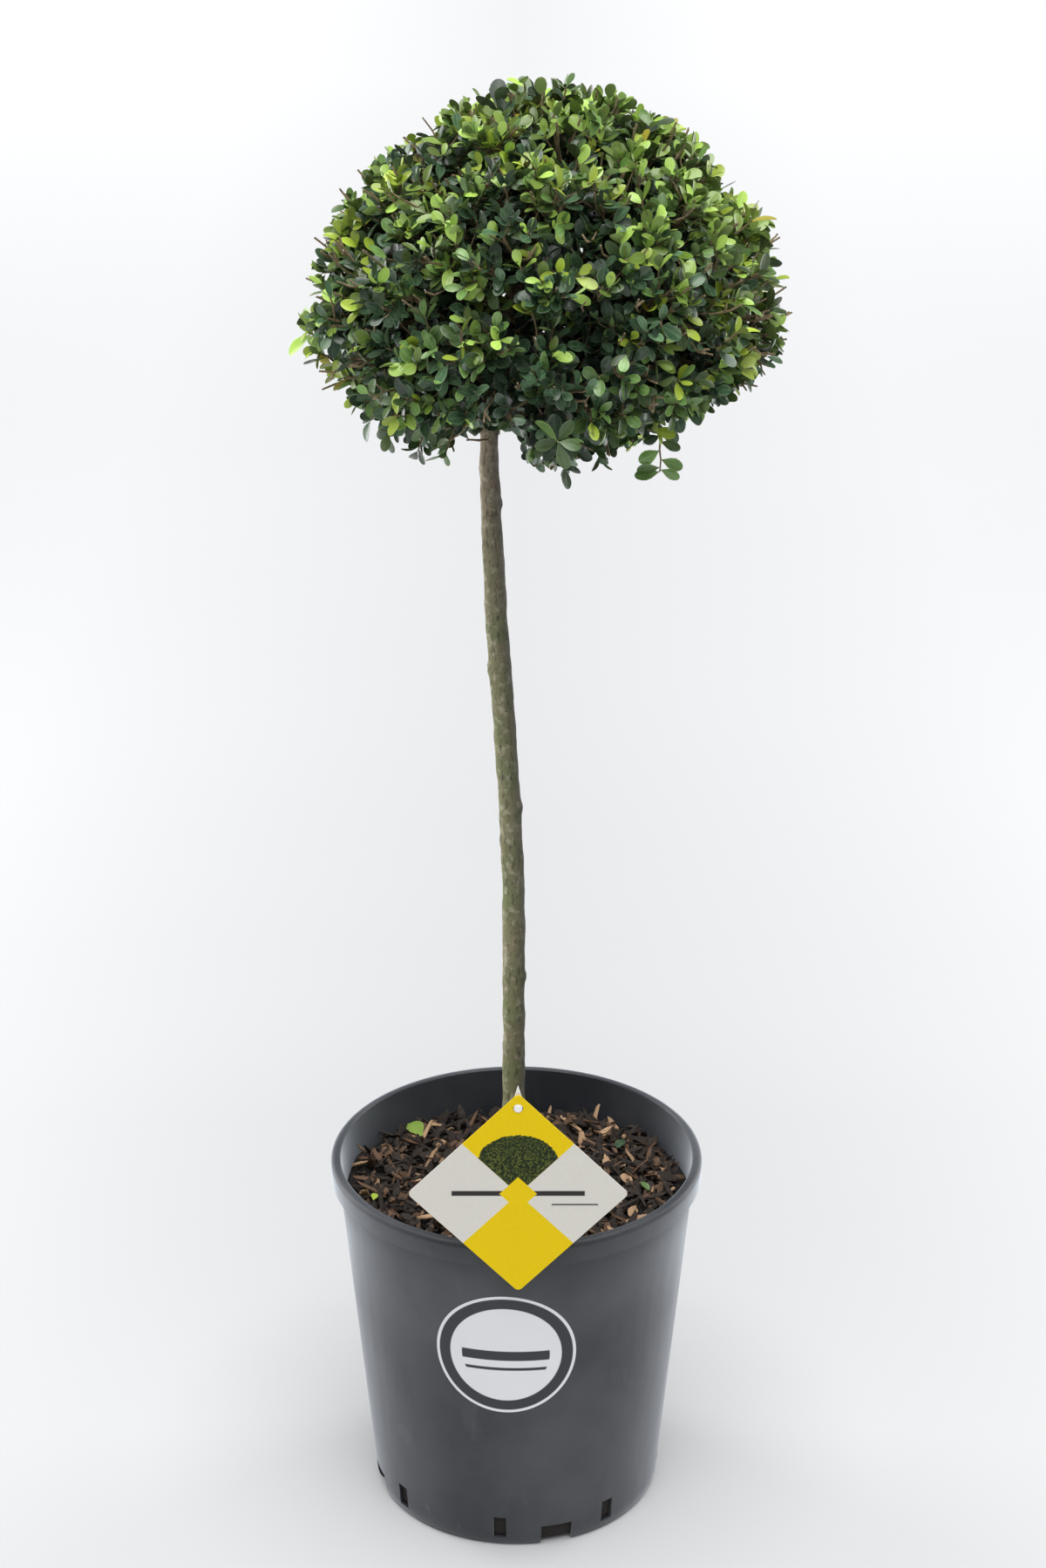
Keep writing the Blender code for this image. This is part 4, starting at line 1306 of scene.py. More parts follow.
@dataclass
class Ball:
    """The clipped outline: round above its widest level, flatter and squarer below it."""

    middle: Vector = field(default_factory=lambda: Vector((0.021, 0.0, 1.000)))
    radius: float = 0.173
    rise: float = 0.162
    drop: float = 0.106
    upper_power: float = 2.0
    lower_power: float = 2.8
    lump_share: float = 0.035
    lump_fineness: float = 2.3
    lump_slice: Vector = field(default_factory=lambda: Vector((7.0, 2.0, 5.0)))
    dents: tuple[tuple[Triple, float, float, float], ...] = (
        ((-0.60, -0.25, 0.76), 0.14, 0.29, 2.0),
        ((0.82, -0.10, -0.57), 0.24, 0.27, 2.2),
        ((-0.87, -0.10, -0.49), 0.08, 0.22, 2.0),
        ((-0.29, -0.79, -0.54), 0.20, 0.24, 1.0),
        ((0.85, -0.10, 0.52), 0.09, 0.11, 3.0),
    )
    halvings: int = 26

    def dent_depth(self, way: Vector) -> float:
        """How much the outline's hollows take off along a way, as a share of the ball.

        Args:
            way: the way from the ball's middle.

        Returns:
            The share.
        """
        depth = 0.0
        for middle, share, width, length in self.dents:
            off = way - Vector(middle).normalized()
            depth += share * math.exp(-(off.x**2 + (off.y / length) ** 2 + off.z**2) / width**2)
        return depth

    def level(self, point: Vector) -> float:
        """0 at the ball's middle and 1 on its clipped surface.

        Args:
            point: any point.

        Returns:
            The level there.
        """
        away = point - self.middle
        if away.length < TINY:
            return 0.0
        rise, power = (self.rise, self.upper_power) if away.z > 0 else (self.drop, self.lower_power)
        flat = math.hypot(away.x, away.y) / self.radius
        level = (flat**power + (abs(away.z) / rise) ** power) ** (1 / power)
        way = away.normalized()
        lump = self.lump_share * noise.noise(way * self.lump_fineness + self.lump_slice)
        return level / (1 + lump - self.dent_depth(way))

    def reach(self, start: Vector, way: Vector, level: float) -> float:
        """How far from a start along a way a level of the ball is met.

        Args:
            start: the start, inside that level.
            way: the way, one long.
            level: the level to meet.

        Returns:
            The distance.
        """
        low, high = 0.0, 3 * self.radius
        for _ in range(self.halvings):
            middle = (low + high) / 2
            if self.level(start + way * middle) < level:
                low = middle
            else:
                high = middle
        return low


@dataclass
class Mass:
    """One mass's share of the ball, and the bough that carries it."""

    name: str
    middle: Vector
    fork: Vector
    planes: list[tuple[Vector, float]] = field(default_factory=list)
    entry: Vector | None = None
    arrival: Vector = field(default_factory=UP.copy)

    def reach(self, ball: Ball, way: Vector, level: float) -> float:
        """How far the mass goes from its middle along a way, inside a level of the ball.

        Args:
            ball: the whole ball.
            way: the way, one long.
            level: the ball's level to stay inside.

        Returns:
            The distance.
        """
        far = ball.reach(self.middle, way, level)
        for normal, limit in self.planes:
            closing = normal.dot(way)
            if closing > TINY:
                far = min(far, (limit - normal.dot(self.middle)) / closing)
        return far


@dataclass
class Masses:
    """The two rings of masses and the top one, shared out as the part's own rule says."""

    ball: Ball
    stem: Stem
    lower: tuple[int, float, float] = (5, 0.104, 0.962)
    lower_turn: float = math.radians(-90)
    upper: tuple[int, float, float] = (3, 0.082, 1.082)
    upper_turn: float = math.radians(-50)
    top_middle: float = 1.115
    gap: float = 0.002
    stem_room: float = 0.031
    bough_share: float = 0.46
    core_level: float = 0.80
    lower_fork: Pair = (0.922, 0.009)
    upper_fork: Pair = (1.004, 0.011)
    bough_root_share: float = 0.68
    bough_end: float = 0.0028
    bough_bow: float = 0.007
    bough_points: int = 7
    bough_rest: float = 0.010

    def ring(self, plan: tuple[int, float, float], turn: float) -> Line:
        """Middles evenly spaced about the ball's axis."""
        count, radius, height = plan
        angles = [turn + index * math.tau / count for index in range(count)]
        x, y, _ = self.ball.middle
        return [Vector((x + radius * math.cos(a), y + radius * math.sin(a), height)) for a in angles]

    def bough_line(self, mass: Mass) -> Line:
        """The bowed line of a mass's bough, from inside the stem to where it enters the mass."""
        middle = (mass.fork + mass.entry) / 2 + UP * self.bough_bow
        shares = np.linspace(0, 1, self.bough_points)
        return [mass.fork.lerp(middle, share).lerp(middle.lerp(mass.entry, share), share) for share in shares]

    def boughs(self, masses: list[Mass]) -> list[tuple[Line, list[float]]]:
        """Each bough's line and radii. The top mass has none: the stem's own tip carries it.

        Args:
            masses: the masses that the ball is split into.

        Returns:
            A line and its radii for each bough.
        """
        boughs = []
        for mass in masses[:-1]:
            root = self.bough_root_share * self.stem.radius(mass.fork.z)
            boughs.append((self.bough_line(mass), list(np.linspace(root, self.bough_end, self.bough_points))))
        return boughs

    def plan(self) -> list[Mass]:
        """Shares the ball out.

        Returns:
            The masses, the top one last.
        """
        masses = []
        count = self.lower[0]
        start, step = self.lower_fork
        for index, middle in enumerate(self.ring(self.lower, self.lower_turn)):
            fork = self.stem.point(start + step * (index * 2 % count))
            masses.append(Mass(f"foliage_lower_{index + 1}", middle, fork))
        start, step = self.upper_fork
        for index, middle in enumerate(self.ring(self.upper, self.upper_turn)):
            masses.append(Mass(f"foliage_upper_{index + 1}", middle, self.stem.point(start + step * index)))
        top = Vector((self.ball.middle.x, self.ball.middle.y, self.top_middle))
        tip = self.stem.point(self.stem.tip)
        masses.append(Mass("foliage_top", top, tip, entry=tip))
        for mass in masses[:-1]:
            mass.planes = self.planes(masses, mass)
            home = (mass.fork - mass.middle).normalized()
            mass.entry = mass.middle + home * (mass.reach(self.ball, home, self.core_level) + self.bough_rest)
            line = self.bough_line(mass)
            mass.arrival = (line[-1] - line[-2]).normalized()
        return masses

    def planes(self, masses: list[Mass], mass: Mass) -> list[tuple[Vector, float]]:
        """The planes that part one mass from the others and from the stem.

        Args:
            masses: all of them.
            mass: the one to part.

        Returns:
            Each plane as its normal and its distance.
        """
        planes = []
        middle = mass.middle
        for other in masses:
            if other is not mass:
                normal = (other.middle - middle).normalized()
                planes.append((normal, normal.dot((middle + other.middle) / 2) - self.gap / 2))
        beside = self.stem.point(min(middle.z, self.stem.tip))
        inward = Vector((beside.x - middle.x, beside.y - middle.y, 0.0))
        room = max(self.stem_room, self.bough_share * inward.length)
        inward.normalize()
        planes.append((inward, inward.dot(beside) - room))
        return planes


# ---- leaves


@dataclass
class LeafForm:
    """One leaf of unit length along +X, its upper face to +Z: widest past its middle, blunt-tipped."""

    width: float
    fold: float
    curl: float
    twist: float
    thickness: float = 0.022
    blunt: float = 1.30
    wedge: float = 0.95
    full: float = 0.46
    stalk: float = 0.045
    stations: tuple[float, ...] = (0.0, 0.08, 0.20, 0.38, 0.58, 0.77, 0.91, 0.98)

    def half_width(self, along: float) -> float:
        """Half the blade's width at a share of its length."""
        share = along**self.blunt
        blade = math.sin(math.pi * share) ** (self.wedge if share < 0.5 else self.full)
        return self.width / 2 * max(blade, self.stalk)

    def place(self, along: float, across: float, lift: float = 0.0) -> Vector:
        """A point of the blade, folded along its midrib, curled and twisted."""
        wide = self.half_width(along) * across
        rise = self.fold * abs(wide) - self.curl * along * along + lift
        turned, level = math.sin(self.twist * along), math.cos(self.twist * along)
        return Vector((along, wide * level - rise * turned, rise * level + wide * turned))

    def build(self, name: str) -> Object:
        """Builds the leaf as a thin closed blade.

        Args:
            name: the object's name.

        Returns:
            The leaf, which carries a UV map and marks its under face.
        """
        form = bmesh.new()
        uv = form.loops.layers.uv.new("leaf")
        under = form.faces.layers.float.new("under")
        face = form.faces.new
        where = {}
        rows = []
        for along in self.stations:
            row = [form.verts.new(self.place(along, across)) for across in (-1, 0, 1)]
            row.append(form.verts.new(self.place(along, 0, -self.thickness)))
            where |= {vertex: (across, along) for vertex, across in zip(row, (0.0, 0.5, 1.0, 0.5))}
            rows.append(row)
        tip = form.verts.new(self.place(1.0, 0))
        where[tip] = (0.5, 1.0)
        top, back = [], []
        for (left, rib, right, keel), (left_on, rib_on, right_on, keel_on) in zip(rows, rows[1:]):
            top += [face((left, rib, rib_on, left_on)), face((rib, right, right_on, rib_on))]
            back += [face((keel, left, left_on, keel_on)), face((right, keel, keel_on, right_on))]
        left, rib, right, keel = rows[-1]
        top += [face((left, rib, tip)), face((rib, right, tip))]
        back += [face((keel, left, tip)), face((right, keel, tip))]
        left, rib, right, keel = rows[0]
        back.append(face((left, keel, right, rib)))
        bmesh.ops.recalc_face_normals(form, faces=form.faces)
        for side in form.faces:
            side.smooth = True
            side[under] = 1.0 if side in back else 0.0
            for loop in side.loops:
                loop[uv].uv = where[loop.vert]
        for edge in form.edges:
            edge.smooth = len({side[under] for side in edge.link_faces}) == 1
        return from_form(name, form)


def leaf_row(root: Vector, way: Vector, face: Vector, *measures: float) -> tuple[float, ...]:
    """One leaf as numbers: where it is, how it is turned, and its measures.

    Args:
        root: where its stalk meets the twig.
        way: the way its blade points.
        face: the way its upper face looks, as near as it can.
        *measures: its length, which leaf form it takes, and how light it is, from 0 to 1.

    Returns:
        Its root's three numbers, its three angles and its measures.
    """
    way = way.normalized()
    across = face.cross(way)
    across = (way.orthogonal() if across.length < TINY else across).normalized()
    return (*root, *Matrix((way, across, way.cross(across))).transposed().to_euler(), *measures)


DARKEST_TIPS = (Tone.SHADE, Tone.DEEP, Tone.DEEP)
DARK_TIPS = (Tone.SHADE, Tone.SHADE, Tone.DEEP)
GREEN_TIPS = (Tone.MIDDLE, Tone.SHADE, Tone.DEEP)
EVEN_TIPS = (Tone.MIDDLE, Tone.MIDDLE, Tone.SHADE)
BRIGHT_TIPS = (Tone.LIGHT, Tone.MIDDLE, Tone.SHADE)
FRESH_TIPS = (Tone.FRESH, Tone.MIDDLE, Tone.SHADE)
LIME_TIPS = (Tone.FRESH, Tone.LIGHT, Tone.MIDDLE)


@dataclass(frozen=True)
class Habit:
    """How a shoot bears its leaves: their tones from its tip back, their number, and how they stand.

    A spread in degrees is only for a shoot that may stand out of the ball.
    """

    tones: Tones
    leaves: int
    larger: float = 1.0
    spread: float = 0.0
    flat: bool = False
    step: float = 1.0
    light: float = 1.0


@dataclass(frozen=True)
class Sprig:
    """A shoot that the shears missed, or one that hangs: its tip, its way there and its habit."""

    tip: Triple
    way: Triple
    length: float
    habit: Habit


SPRIGS = (
    Sprig((0.036, 0.000, 1.162), (0.15, 0.0, 1.0), 0.030, Habit(GREEN_TIPS, 5, 0.78, 52)),
    Sprig((-0.013, -0.005, 1.150), (-0.1, 0.0, 1.0), 0.024, Habit(DARK_TIPS, 4, 1.1, 38)),
    Sprig((0.096, -0.020, 1.140), (0.5, 0.0, 1.0), 0.026, Habit(GREEN_TIPS, 5, 0.86, 50)),
    Sprig((-0.151, -0.010, 0.985), (-1.0, 0.0, 0.35), 0.030, Habit(BRIGHT_TIPS, 3, 1.2, 60)),
    Sprig((-0.124, -0.060, 0.966), (-1.0, -0.3, 0.0), 0.030, Habit(LIME_TIPS, 7, 0.95, 55)),
    Sprig((-0.084, -0.125, 0.958), (-0.5, -0.9, 0.1), 0.028, Habit(LIME_TIPS, 7, 0.95, 55)),
    Sprig((-0.105, -0.045, 0.930), (-1.0, -0.2, -0.4), 0.024, Habit(DARK_TIPS, 5, 1.0, 60)),
    Sprig((0.181, -0.010, 1.000), (1.0, 0.0, 0.25), 0.034, Habit(GREEN_TIPS, 6, 1.0, 55)),
    Sprig((0.168, -0.035, 1.075), (0.8, -0.1, 0.7), 0.034, Habit(LIME_TIPS, 8, 1.1, 55)),
    Sprig((0.104, -0.070, 0.899), (0.04, 0.0, -1.0), 0.042, Habit(EVEN_TIPS, 8, 0.92, 68, flat=True)),
    Sprig((0.0292, -0.178, 0.9560), (0.1, -0.9, 0.20), 0.034, Habit(EVEN_TIPS, 9, 1.12, 84, step=0.30, light=0.50)),
    Sprig((0.036, -0.080, 0.905), (0.5, -0.2, -0.9), 0.030, Habit(DARK_TIPS, 4, 0.80, 45)),
    Sprig((0.060, -0.085, 0.914), (0.2, -0.3, -0.9), 0.028, Habit(DARK_TIPS, 6, 0.80, 45)),
    Sprig((-0.091, -0.080, 0.930), (-0.5, -0.2, -0.9), 0.028, Habit(GREEN_TIPS, 6, 0.82, 38)),
    Sprig((-0.070, -0.080, 0.918), (-0.4, -0.2, -0.9), 0.028, Habit(DARK_TIPS, 6, 0.82, 38)),
    Sprig((-0.051, -0.070, 0.912), (-0.3, -0.2, -0.9), 0.028, Habit(GREEN_TIPS, 6, 0.82, 38)),
    Sprig((-0.036, -0.030, 0.910), (-1.0, -0.3, 0.1), 0.016, Habit(DARK_TIPS, 5, 0.95, 55)),
    Sprig((-0.088, -0.070, 1.104), (-0.9, -0.2, 0.6), 0.030, Habit(LIME_TIPS, 6, 0.78, 45)),
)


# ---- crown


def length_of(line: Line) -> float:
    """The length of a line."""
    return sum((after - before).length for before, after in zip(line, line[1:]))


def point_on(line: Line, back: float) -> Vector:
    """The point of a line a distance back from its tip.

    Args:
        line: the line, from its root to its tip.
        back: the distance.

    Returns:
        The point.
    """
    for ahead, behind in zip(line[::-1], line[-2::-1]):
        run = (ahead - behind).length
        if back <= run:
            return ahead.lerp(behind, back / run)
        back -= run
    return line[0]


def look_up(places: Line) -> KDTree:
    """A tree to look up the nearest of some places in."""
    tree = KDTree(len(places))
    for index, place in enumerate(places):
        tree.insert(place, index)
    tree.balance()
    return tree


class Ends:
    """The limb ends that more may grow from, each a tip and its way."""

    nearest = 6
    turn_cost = 0.6

    def __init__(self, ends: list[End]) -> None:
        """Takes the ends, to look them up by place."""
        self.ends = ends
        self.tree = look_up([tip for tip, _ in ends])

    def best(self, place: Vector) -> End:
        """The end that a place is best reached from: near, and behind it rather than beside it.

        Args:
            place: the place to reach.

        Returns:
            The end, as its point and the way it heads.
        """

        def effort(hit: tuple) -> float:
            """A longer way, and a sharper turn, cost more."""
            tip, way = self.ends[hit[1]]
            ahead = (place - tip).normalized().dot(way)
            return hit[2] * (1 + self.turn_cost - self.turn_cost * ahead)

        return self.ends[min(self.tree.find_n(place, self.nearest), key=effort)[1]]


@dataclass
class Crown:
    """The ball of foliage: limbs that fork again and again, then sprays of shoots and leaves."""

    ball: Ball
    stem: Stem
    masses: list[Mass]
    compost: Compost
    root_reach: Pair = (0.004, 0.022)
    root_radii: Pair = (0.0029, 0.0026)
    forks: tuple[tuple[float, float, int], ...] = ((0.42, 0.05, 60), (0.66, 0.05, 240))
    sprays: int = 640
    spray_level: Pair = (0.88, 1.000)
    inner_sprays: int = 300
    inner_level: Pair = (0.56, 0.80)
    clump_share: float = 0.075
    clump_fineness: float = 5.5
    gather: float = 0.42
    gatherings: int = 180
    tuft_fall: float = 0.070
    tuft_reach: float = 0.090
    sink: float = 0.05
    sink_span: Pair = (0.15, 0.45)
    side_shoots: tuple[int, int] = (2, 4)
    side_places: Pair = (0.12, 0.18)
    side_place_draw: Pair = (0.8, 1.2)
    side_length: Pair = (0.015, 0.033)
    side_spread: Pair = (0.50, 0.95)
    side_lift: float = 0.10
    side_outwards: float = 0.6
    side_shortening: float = 0.85
    side_overshoot: float = 0.02
    own_tones: float = 0.5
    cut_twigs: int = 330
    cut_level: Pair = (0.940, 1.036)
    cut_waist: float = 0.04
    cut_dropped: float = 0.6
    cut_forks: float = 0.5
    cut_fork_back: Pair = (0.008, 0.016)
    cut_fork_length: Pair = (0.006, 0.013)
    cut_fork_draw: float = 0.7
    limb_radii: tuple[float, ...] = (0.0028, 0.0022, 0.0015, 0.0010, 0.0006)
    cut_radii: Pair = (0.0010, 0.0007)
    way_draw: float = 1.1
    lifts: Pair = (0.15, 0.55)
    waist: float = -0.1
    heading_draw: float = 0.16
    stem_room: float = 0.020
    stem_head: float = 0.9134
    sight_rise: float = 0.336
    stem_clear: Pair = (0.021, 0.06)
    stem_front: Pair = (-0.02, 0.01)
    thin_spots: tuple[tuple[Triple, float, float], ...] = (
        ((0.36, -0.66, -0.66), 0.13, 0.26),
        ((-0.40, -0.90, 0.15), 0.10, 0.18),
        ((0.22, -0.96, 0.05), 0.08, 0.16),
    )
    # Brighter tones grow likelier with height and towards the sides, the right most: partly fresher growth on top,
    # partly painted light where the light falls.
    lit_heights: Pair = (0.93, 0.22)
    lit_power: float = 1.5
    lit_sides: tuple[Pair, Pair] = ((1.10, 1.0), (2.60, 1.35))
    tone_chances: tuple[tuple[Tones, Triple], ...] = (
        (FRESH_TIPS, (0.02, 0.14, 0.10)),
        (BRIGHT_TIPS, (0.05, 0.70, 0.34)),
        (GREEN_TIPS, (0.32, 0.52, 0.34)),
        (DARK_TIPS, (0.88, 0.0, 0.0)),
    )
    golden: float = 0.04
    leaf_level: float = 1.050
    stray_level: float = 2.0
    leaf_length: Pair = (0.0140, 0.0205)
    leaf_step: Pair = (0.0042, 0.0074)
    tip_step: float = 0.30
    leafy_share: float = 0.95
    sunk_below: float = -0.05
    leaf_turn: float = 0.35
    leaf_angles: Triple = (30, 8, 68)
    leaf_angle_draw: float = 0.18
    leaf_lift: Pair = (-0.14, 0.20)
    leaf_faces: Triple = (0.10, 0.65, 0.40)
    face_draws: Pair = (0.30, 0.12)
    young: Pair = (0.70, 0.30)
    axis_leaves: tuple[int, int] = (5, 8)
    side_leaves: tuple[int, int] = (3, 6)
    line_points: int = 6
    line_bend: float = 0.35
    knob: float = 0.22
    knob_draw: Pair = (-0.3, 1.0)
    wander: float = 0.024
    sides: tuple[int, int] = (6, 4)
    leaf_kinds: tuple[LeafForm, ...] = (
        LeafForm(0.54, 0.26, 0.12, 0.0),
        LeafForm(0.48, 0.44, 0.05, 0.25),
        LeafForm(0.58, -0.20, 0.20, -0.15),
        LeafForm(0.51, 0.12, -0.12, 0.35),
        LeafForm(0.45, 0.36, 0.28, -0.35),
        LeafForm(0.59, 0.18, 0.04, 0.08),
    )
    fallen: tuple[tuple[float, float, float, Tone], ...] = (
        (-0.0780, 0.0700, 0.027, Tone.LIGHT),
        (0.0885, 0.0640, 0.017, Tone.SHADE),
        (-0.0994, -0.0800, 0.012, Tone.FRESH),
        (-0.0935, -0.0870, 0.013, Tone.MIDDLE),
        (0.1000, -0.0080, 0.012, Tone.MIDDLE),
        (-0.1145, -0.0385, 0.010, Tone.FRESH),
    )
    fallen_rise: float = 0.010
    fallen_turn: float = 2.0
    seed: int = 41
    most_triangles: int = 190000

    def __post_init__(self) -> None:
        """Starts the seeded draw and the lists that growing fills."""
        self.draw = random.Random(self.seed)
        self.limbs: list[tuple[Line, list[float]]] = []
        self.shoots: list[tuple[Line, list[float]]] = []
        self.leaves: dict[Tone, list] = {tone: [] for tone in Tone}

    def pick(self, limits: Pair) -> float:
        """A number drawn evenly between two limits."""
        return self.draw.uniform(*limits)

    def stray(self, amount: float) -> Vector:
        """A short way off to any side, most often a small one."""
        return Vector([self.draw.gauss(0, amount) for _ in range(3)])

    def shake(self, reach: float) -> Vector:
        """A way off along each axis, none over a reach."""
        return Vector([self.draw.uniform(-reach, reach) for _ in range(3)])

    def ways(self, count: int, turn: float) -> Line:
        """Ways spread evenly over all of space, each drawn a little off its place.

        Args:
            count: how many.
            turn: how far the whole set is turned.

        Returns:
            The ways, each one long.
        """
        spread = []
        for index in range(count):
            rise = 1 - 2 * (index + 0.5) / count
            flat = math.sqrt(1 - rise * rise)
            angle = turn + index * GOLDEN_ANGLE
            way = Vector((flat * math.cos(angle), flat * math.sin(angle), rise))
            spread.append((way + self.stray(self.way_draw / math.sqrt(count))).normalized())
        return spread

    def spread(self, count: int, levels: Pair, turn: float, clumped: bool = False) -> Line:
        """Places spread over the ball at levels between two limits.

        Args:
            count: how many.
            levels: the lowest and highest level.
            turn: turns the whole pattern, so that two of them don't line up.
            clumped: gathers them into clumps that stand out and fall back by turns.

        Returns:
            The places, none of them close to the bare stem.
        """
        tree = look_up(self.ways(self.gatherings, turn + 0.5) if clumped else [])
        places = []
        start, depth = self.sink_span
        middle = self.ball.middle
        for way in self.ways(count, turn):
            level = self.pick(levels) - self.sink * smooth_step((-way.z - start) / depth) - self.thinned(way)
            if clumped:
                centre = tree.find(way)[0]
                way = way.lerp(centre, self.gather).normalized()
                level += self.clump_share * noise.noise(way * self.clump_fineness)
                level -= self.tuft_fall * ((way - centre).length / self.tuft_reach) ** 2
            place = middle + way * self.ball.reach(middle, way, level)
            beside = self.stem.point(min(place.z, self.stem.tip)) - place
            if place.z > middle.z or math.hypot(beside.x, beside.y) > self.stem_room:
                places.append(place)
        return places

    def thinned(self, way: Vector) -> float:
        """How much sooner the leaves end along a way, as a share of the ball."""
        return sum(
            share * math.exp(-(((way - Vector(middle).normalized()).length / width) ** 2))
            for middle, share, width in self.thin_spots
        )

    def hides_stem(self, point: Vector) -> bool:
        """Whether a point would hide the stem's head from the front, where it stands clear.

        Args:
            point: the point.

        Returns:
            Whether it would.
        """
        near, far = self.stem_front
        line = self.stem_head - self.sight_rise * (point.y - near)
        narrow, widening = self.stem_clear
        aside = abs(point.x - self.stem.point(self.stem_head).x)
        return point.y < far and point.z < line and aside < narrow - widening * point.y

    def heading(self, place: Vector) -> Vector:
        """The way that a shoot grows at a place: outwards, and up towards the light above the waist."""
        outward = (place - self.ball.middle).normalized()
        lift = self.lifts[outward.z > self.waist]
        return (outward + UP * lift + self.stray(self.heading_draw)).normalized()

    def line(self, start: Vector, way: Vector, end: Vector, arrive: Vector, radii: Pair) -> Line:
        """Grows a limb: a bent, slightly crooked line with swellings at its nodes.

        Args:
            start: where it leaves its parent.
            way: the parent's way there.
            end: its tip.
            arrive: its own way at its tip.
            radii: its radius at the start and at the tip.

        Returns:
            The points of its line.
        """
        length = (end - start).length
        first = start + way * length * self.line_bend
        second = end - arrive * length * self.line_bend
        points = []
        for share in np.linspace(0, 1, self.line_points):
            a, b, c = start.lerp(first, share), first.lerp(second, share), second.lerp(end, share)
            point = a.lerp(b, share).lerp(b.lerp(c, share), share)
            if 0 < share < 1:
                point += self.shake(1) * self.wander * length
            points.append(point)
        sizes = [
            radius * (1 + self.pick(self.knob_draw) * self.knob)
            for radius in np.linspace(*radii, len(points))
        ]
        kept = self.limbs if radii[0] > self.limb_radii[3] else self.shoots
        kept.append((points, sizes))
        return points

    def grow(self) -> None:
        """Grows everything: limbs fork by fork, then sprays, cut twigs and stray sprigs."""
        tips = []
        back, on = self.root_reach
        for mass in self.masses:
            way = mass.arrival
            self.line(mass.entry - way * back, way, mass.entry + way * on, way, self.root_radii)
            tips.append((mass.entry + way * on, way))
        ends = Ends(tips)
        for order, (level, off, count) in enumerate(self.forks):
            places = self.spread(count, (level - off, level + off), order)
            ends = self.fork(ends, places, self.limb_radii[order : order + 2])
        self.spray_out(ends, self.spread(self.sprays, self.spray_level, 0.5, clumped=True), outer=True)
        self.spray_out(ends, self.spread(self.inner_sprays, self.inner_level, 0.9), outer=False)
        self.leave_cut_twigs(ends)
        self.leave_sprigs(ends)

    def fork(self, ends: Ends, places: Line, radii: Pair) -> Ends:
        """Grows one order of limbs from the last one's ends.

        Args:
            ends: the limb ends that may fork.
            places: where the new limbs end.
            radii: their radius at the start and at the tip.

        Returns:
            The new limbs' ends.
        """
        grown = []
        for place in places:
            points = self.line(*ends.best(place), place, self.heading(place), radii)
            grown.append((place, (points[-1] - points[-2]).normalized()))
        return Ends(grown)

    def spray_out(self, ends: Ends, places: Line, outer: bool) -> None:
        """Grows sprays: each an axis with side shoots turned round it, all in leaf.

        Args:
            ends: the limb ends that they grow from.
            places: where their tips are.
            outer: whether they end at the ball's surface, in the light.
        """
        for place in places:
            if self.hides_stem(place):
                continue
            axis = self.line(*ends.best(place), place, self.heading(place), self.limb_radii[2:4])
            tones = self.tones_at(place, outer)
            self.leaf_up(axis, Habit(tones, self.draw.randint(*self.axis_leaves)))
            turn = self.draw.uniform(0, math.tau)
            length = length_of(axis)
            limit = self.ball.level(place) + self.side_overshoot if outer else self.inner_level[1]
            first, further = self.side_places
            for index in range(self.draw.randint(*self.side_shoots)):
                root = point_on(axis, length * (first + further * index) * self.pick(self.side_place_draw))
                heading = (place - root).normalized()
                turn += GOLDEN_ANGLE
                aside = Matrix.Rotation(turn, 3, heading) @ heading.orthogonal().normalized()
                angle = self.pick(self.side_spread)
                grow = heading * math.cos(angle) + aside * math.sin(angle) + UP * self.side_lift
                grow.normalize()
                reach = self.pick(self.side_length)
                while self.ball.level(root + grow * reach) > limit and reach > self.side_length[0] / 2:
                    reach *= self.side_shortening
                end = root + grow * reach
                if self.hides_stem(end):
                    continue
                arrive = (grow + self.heading(end) * self.side_outwards).normalized()
                shoot = self.line(root, grow, end, arrive, self.limb_radii[3:5])
                own = self.tones_at(end, outer) if self.draw.random() < self.own_tones else tones
                self.leaf_up(shoot, Habit(own, self.draw.randint(*self.side_leaves)))

    def tones_at(self, place: Vector, outer: bool) -> Tones:
        """The tones of a spray's leaves, from its tips back.

        Args:
            place: the spray's tip.
            outer: whether it is in the light.

        Returns:
            The tone of the newest, the next and the oldest leaves.
        """
        # Leaves deep inside the ball take the darkest tones: partly older leaves, partly painted shade.
        if not outer:
            return DARKEST_TIPS
        # Brighter tones grow likelier with height and towards the sides, the right most: partly fresher growth on
        # top, partly painted light where the light falls.
        foot, rise = self.lit_heights
        height = min(max((place.z - foot) / rise, 0.0), 1.0) ** self.lit_power
        side = (place.x - self.ball.middle.x) / self.ball.radius
        gain, most = self.lit_sides[side > 0]
        edge = min(side * side * gain, most)
        chance = self.draw.random()
        for tones, (anywhere, high, aside) in self.tone_chances:
            if chance < anywhere + high * height + aside * edge:
                return tones
        return DARKEST_TIPS

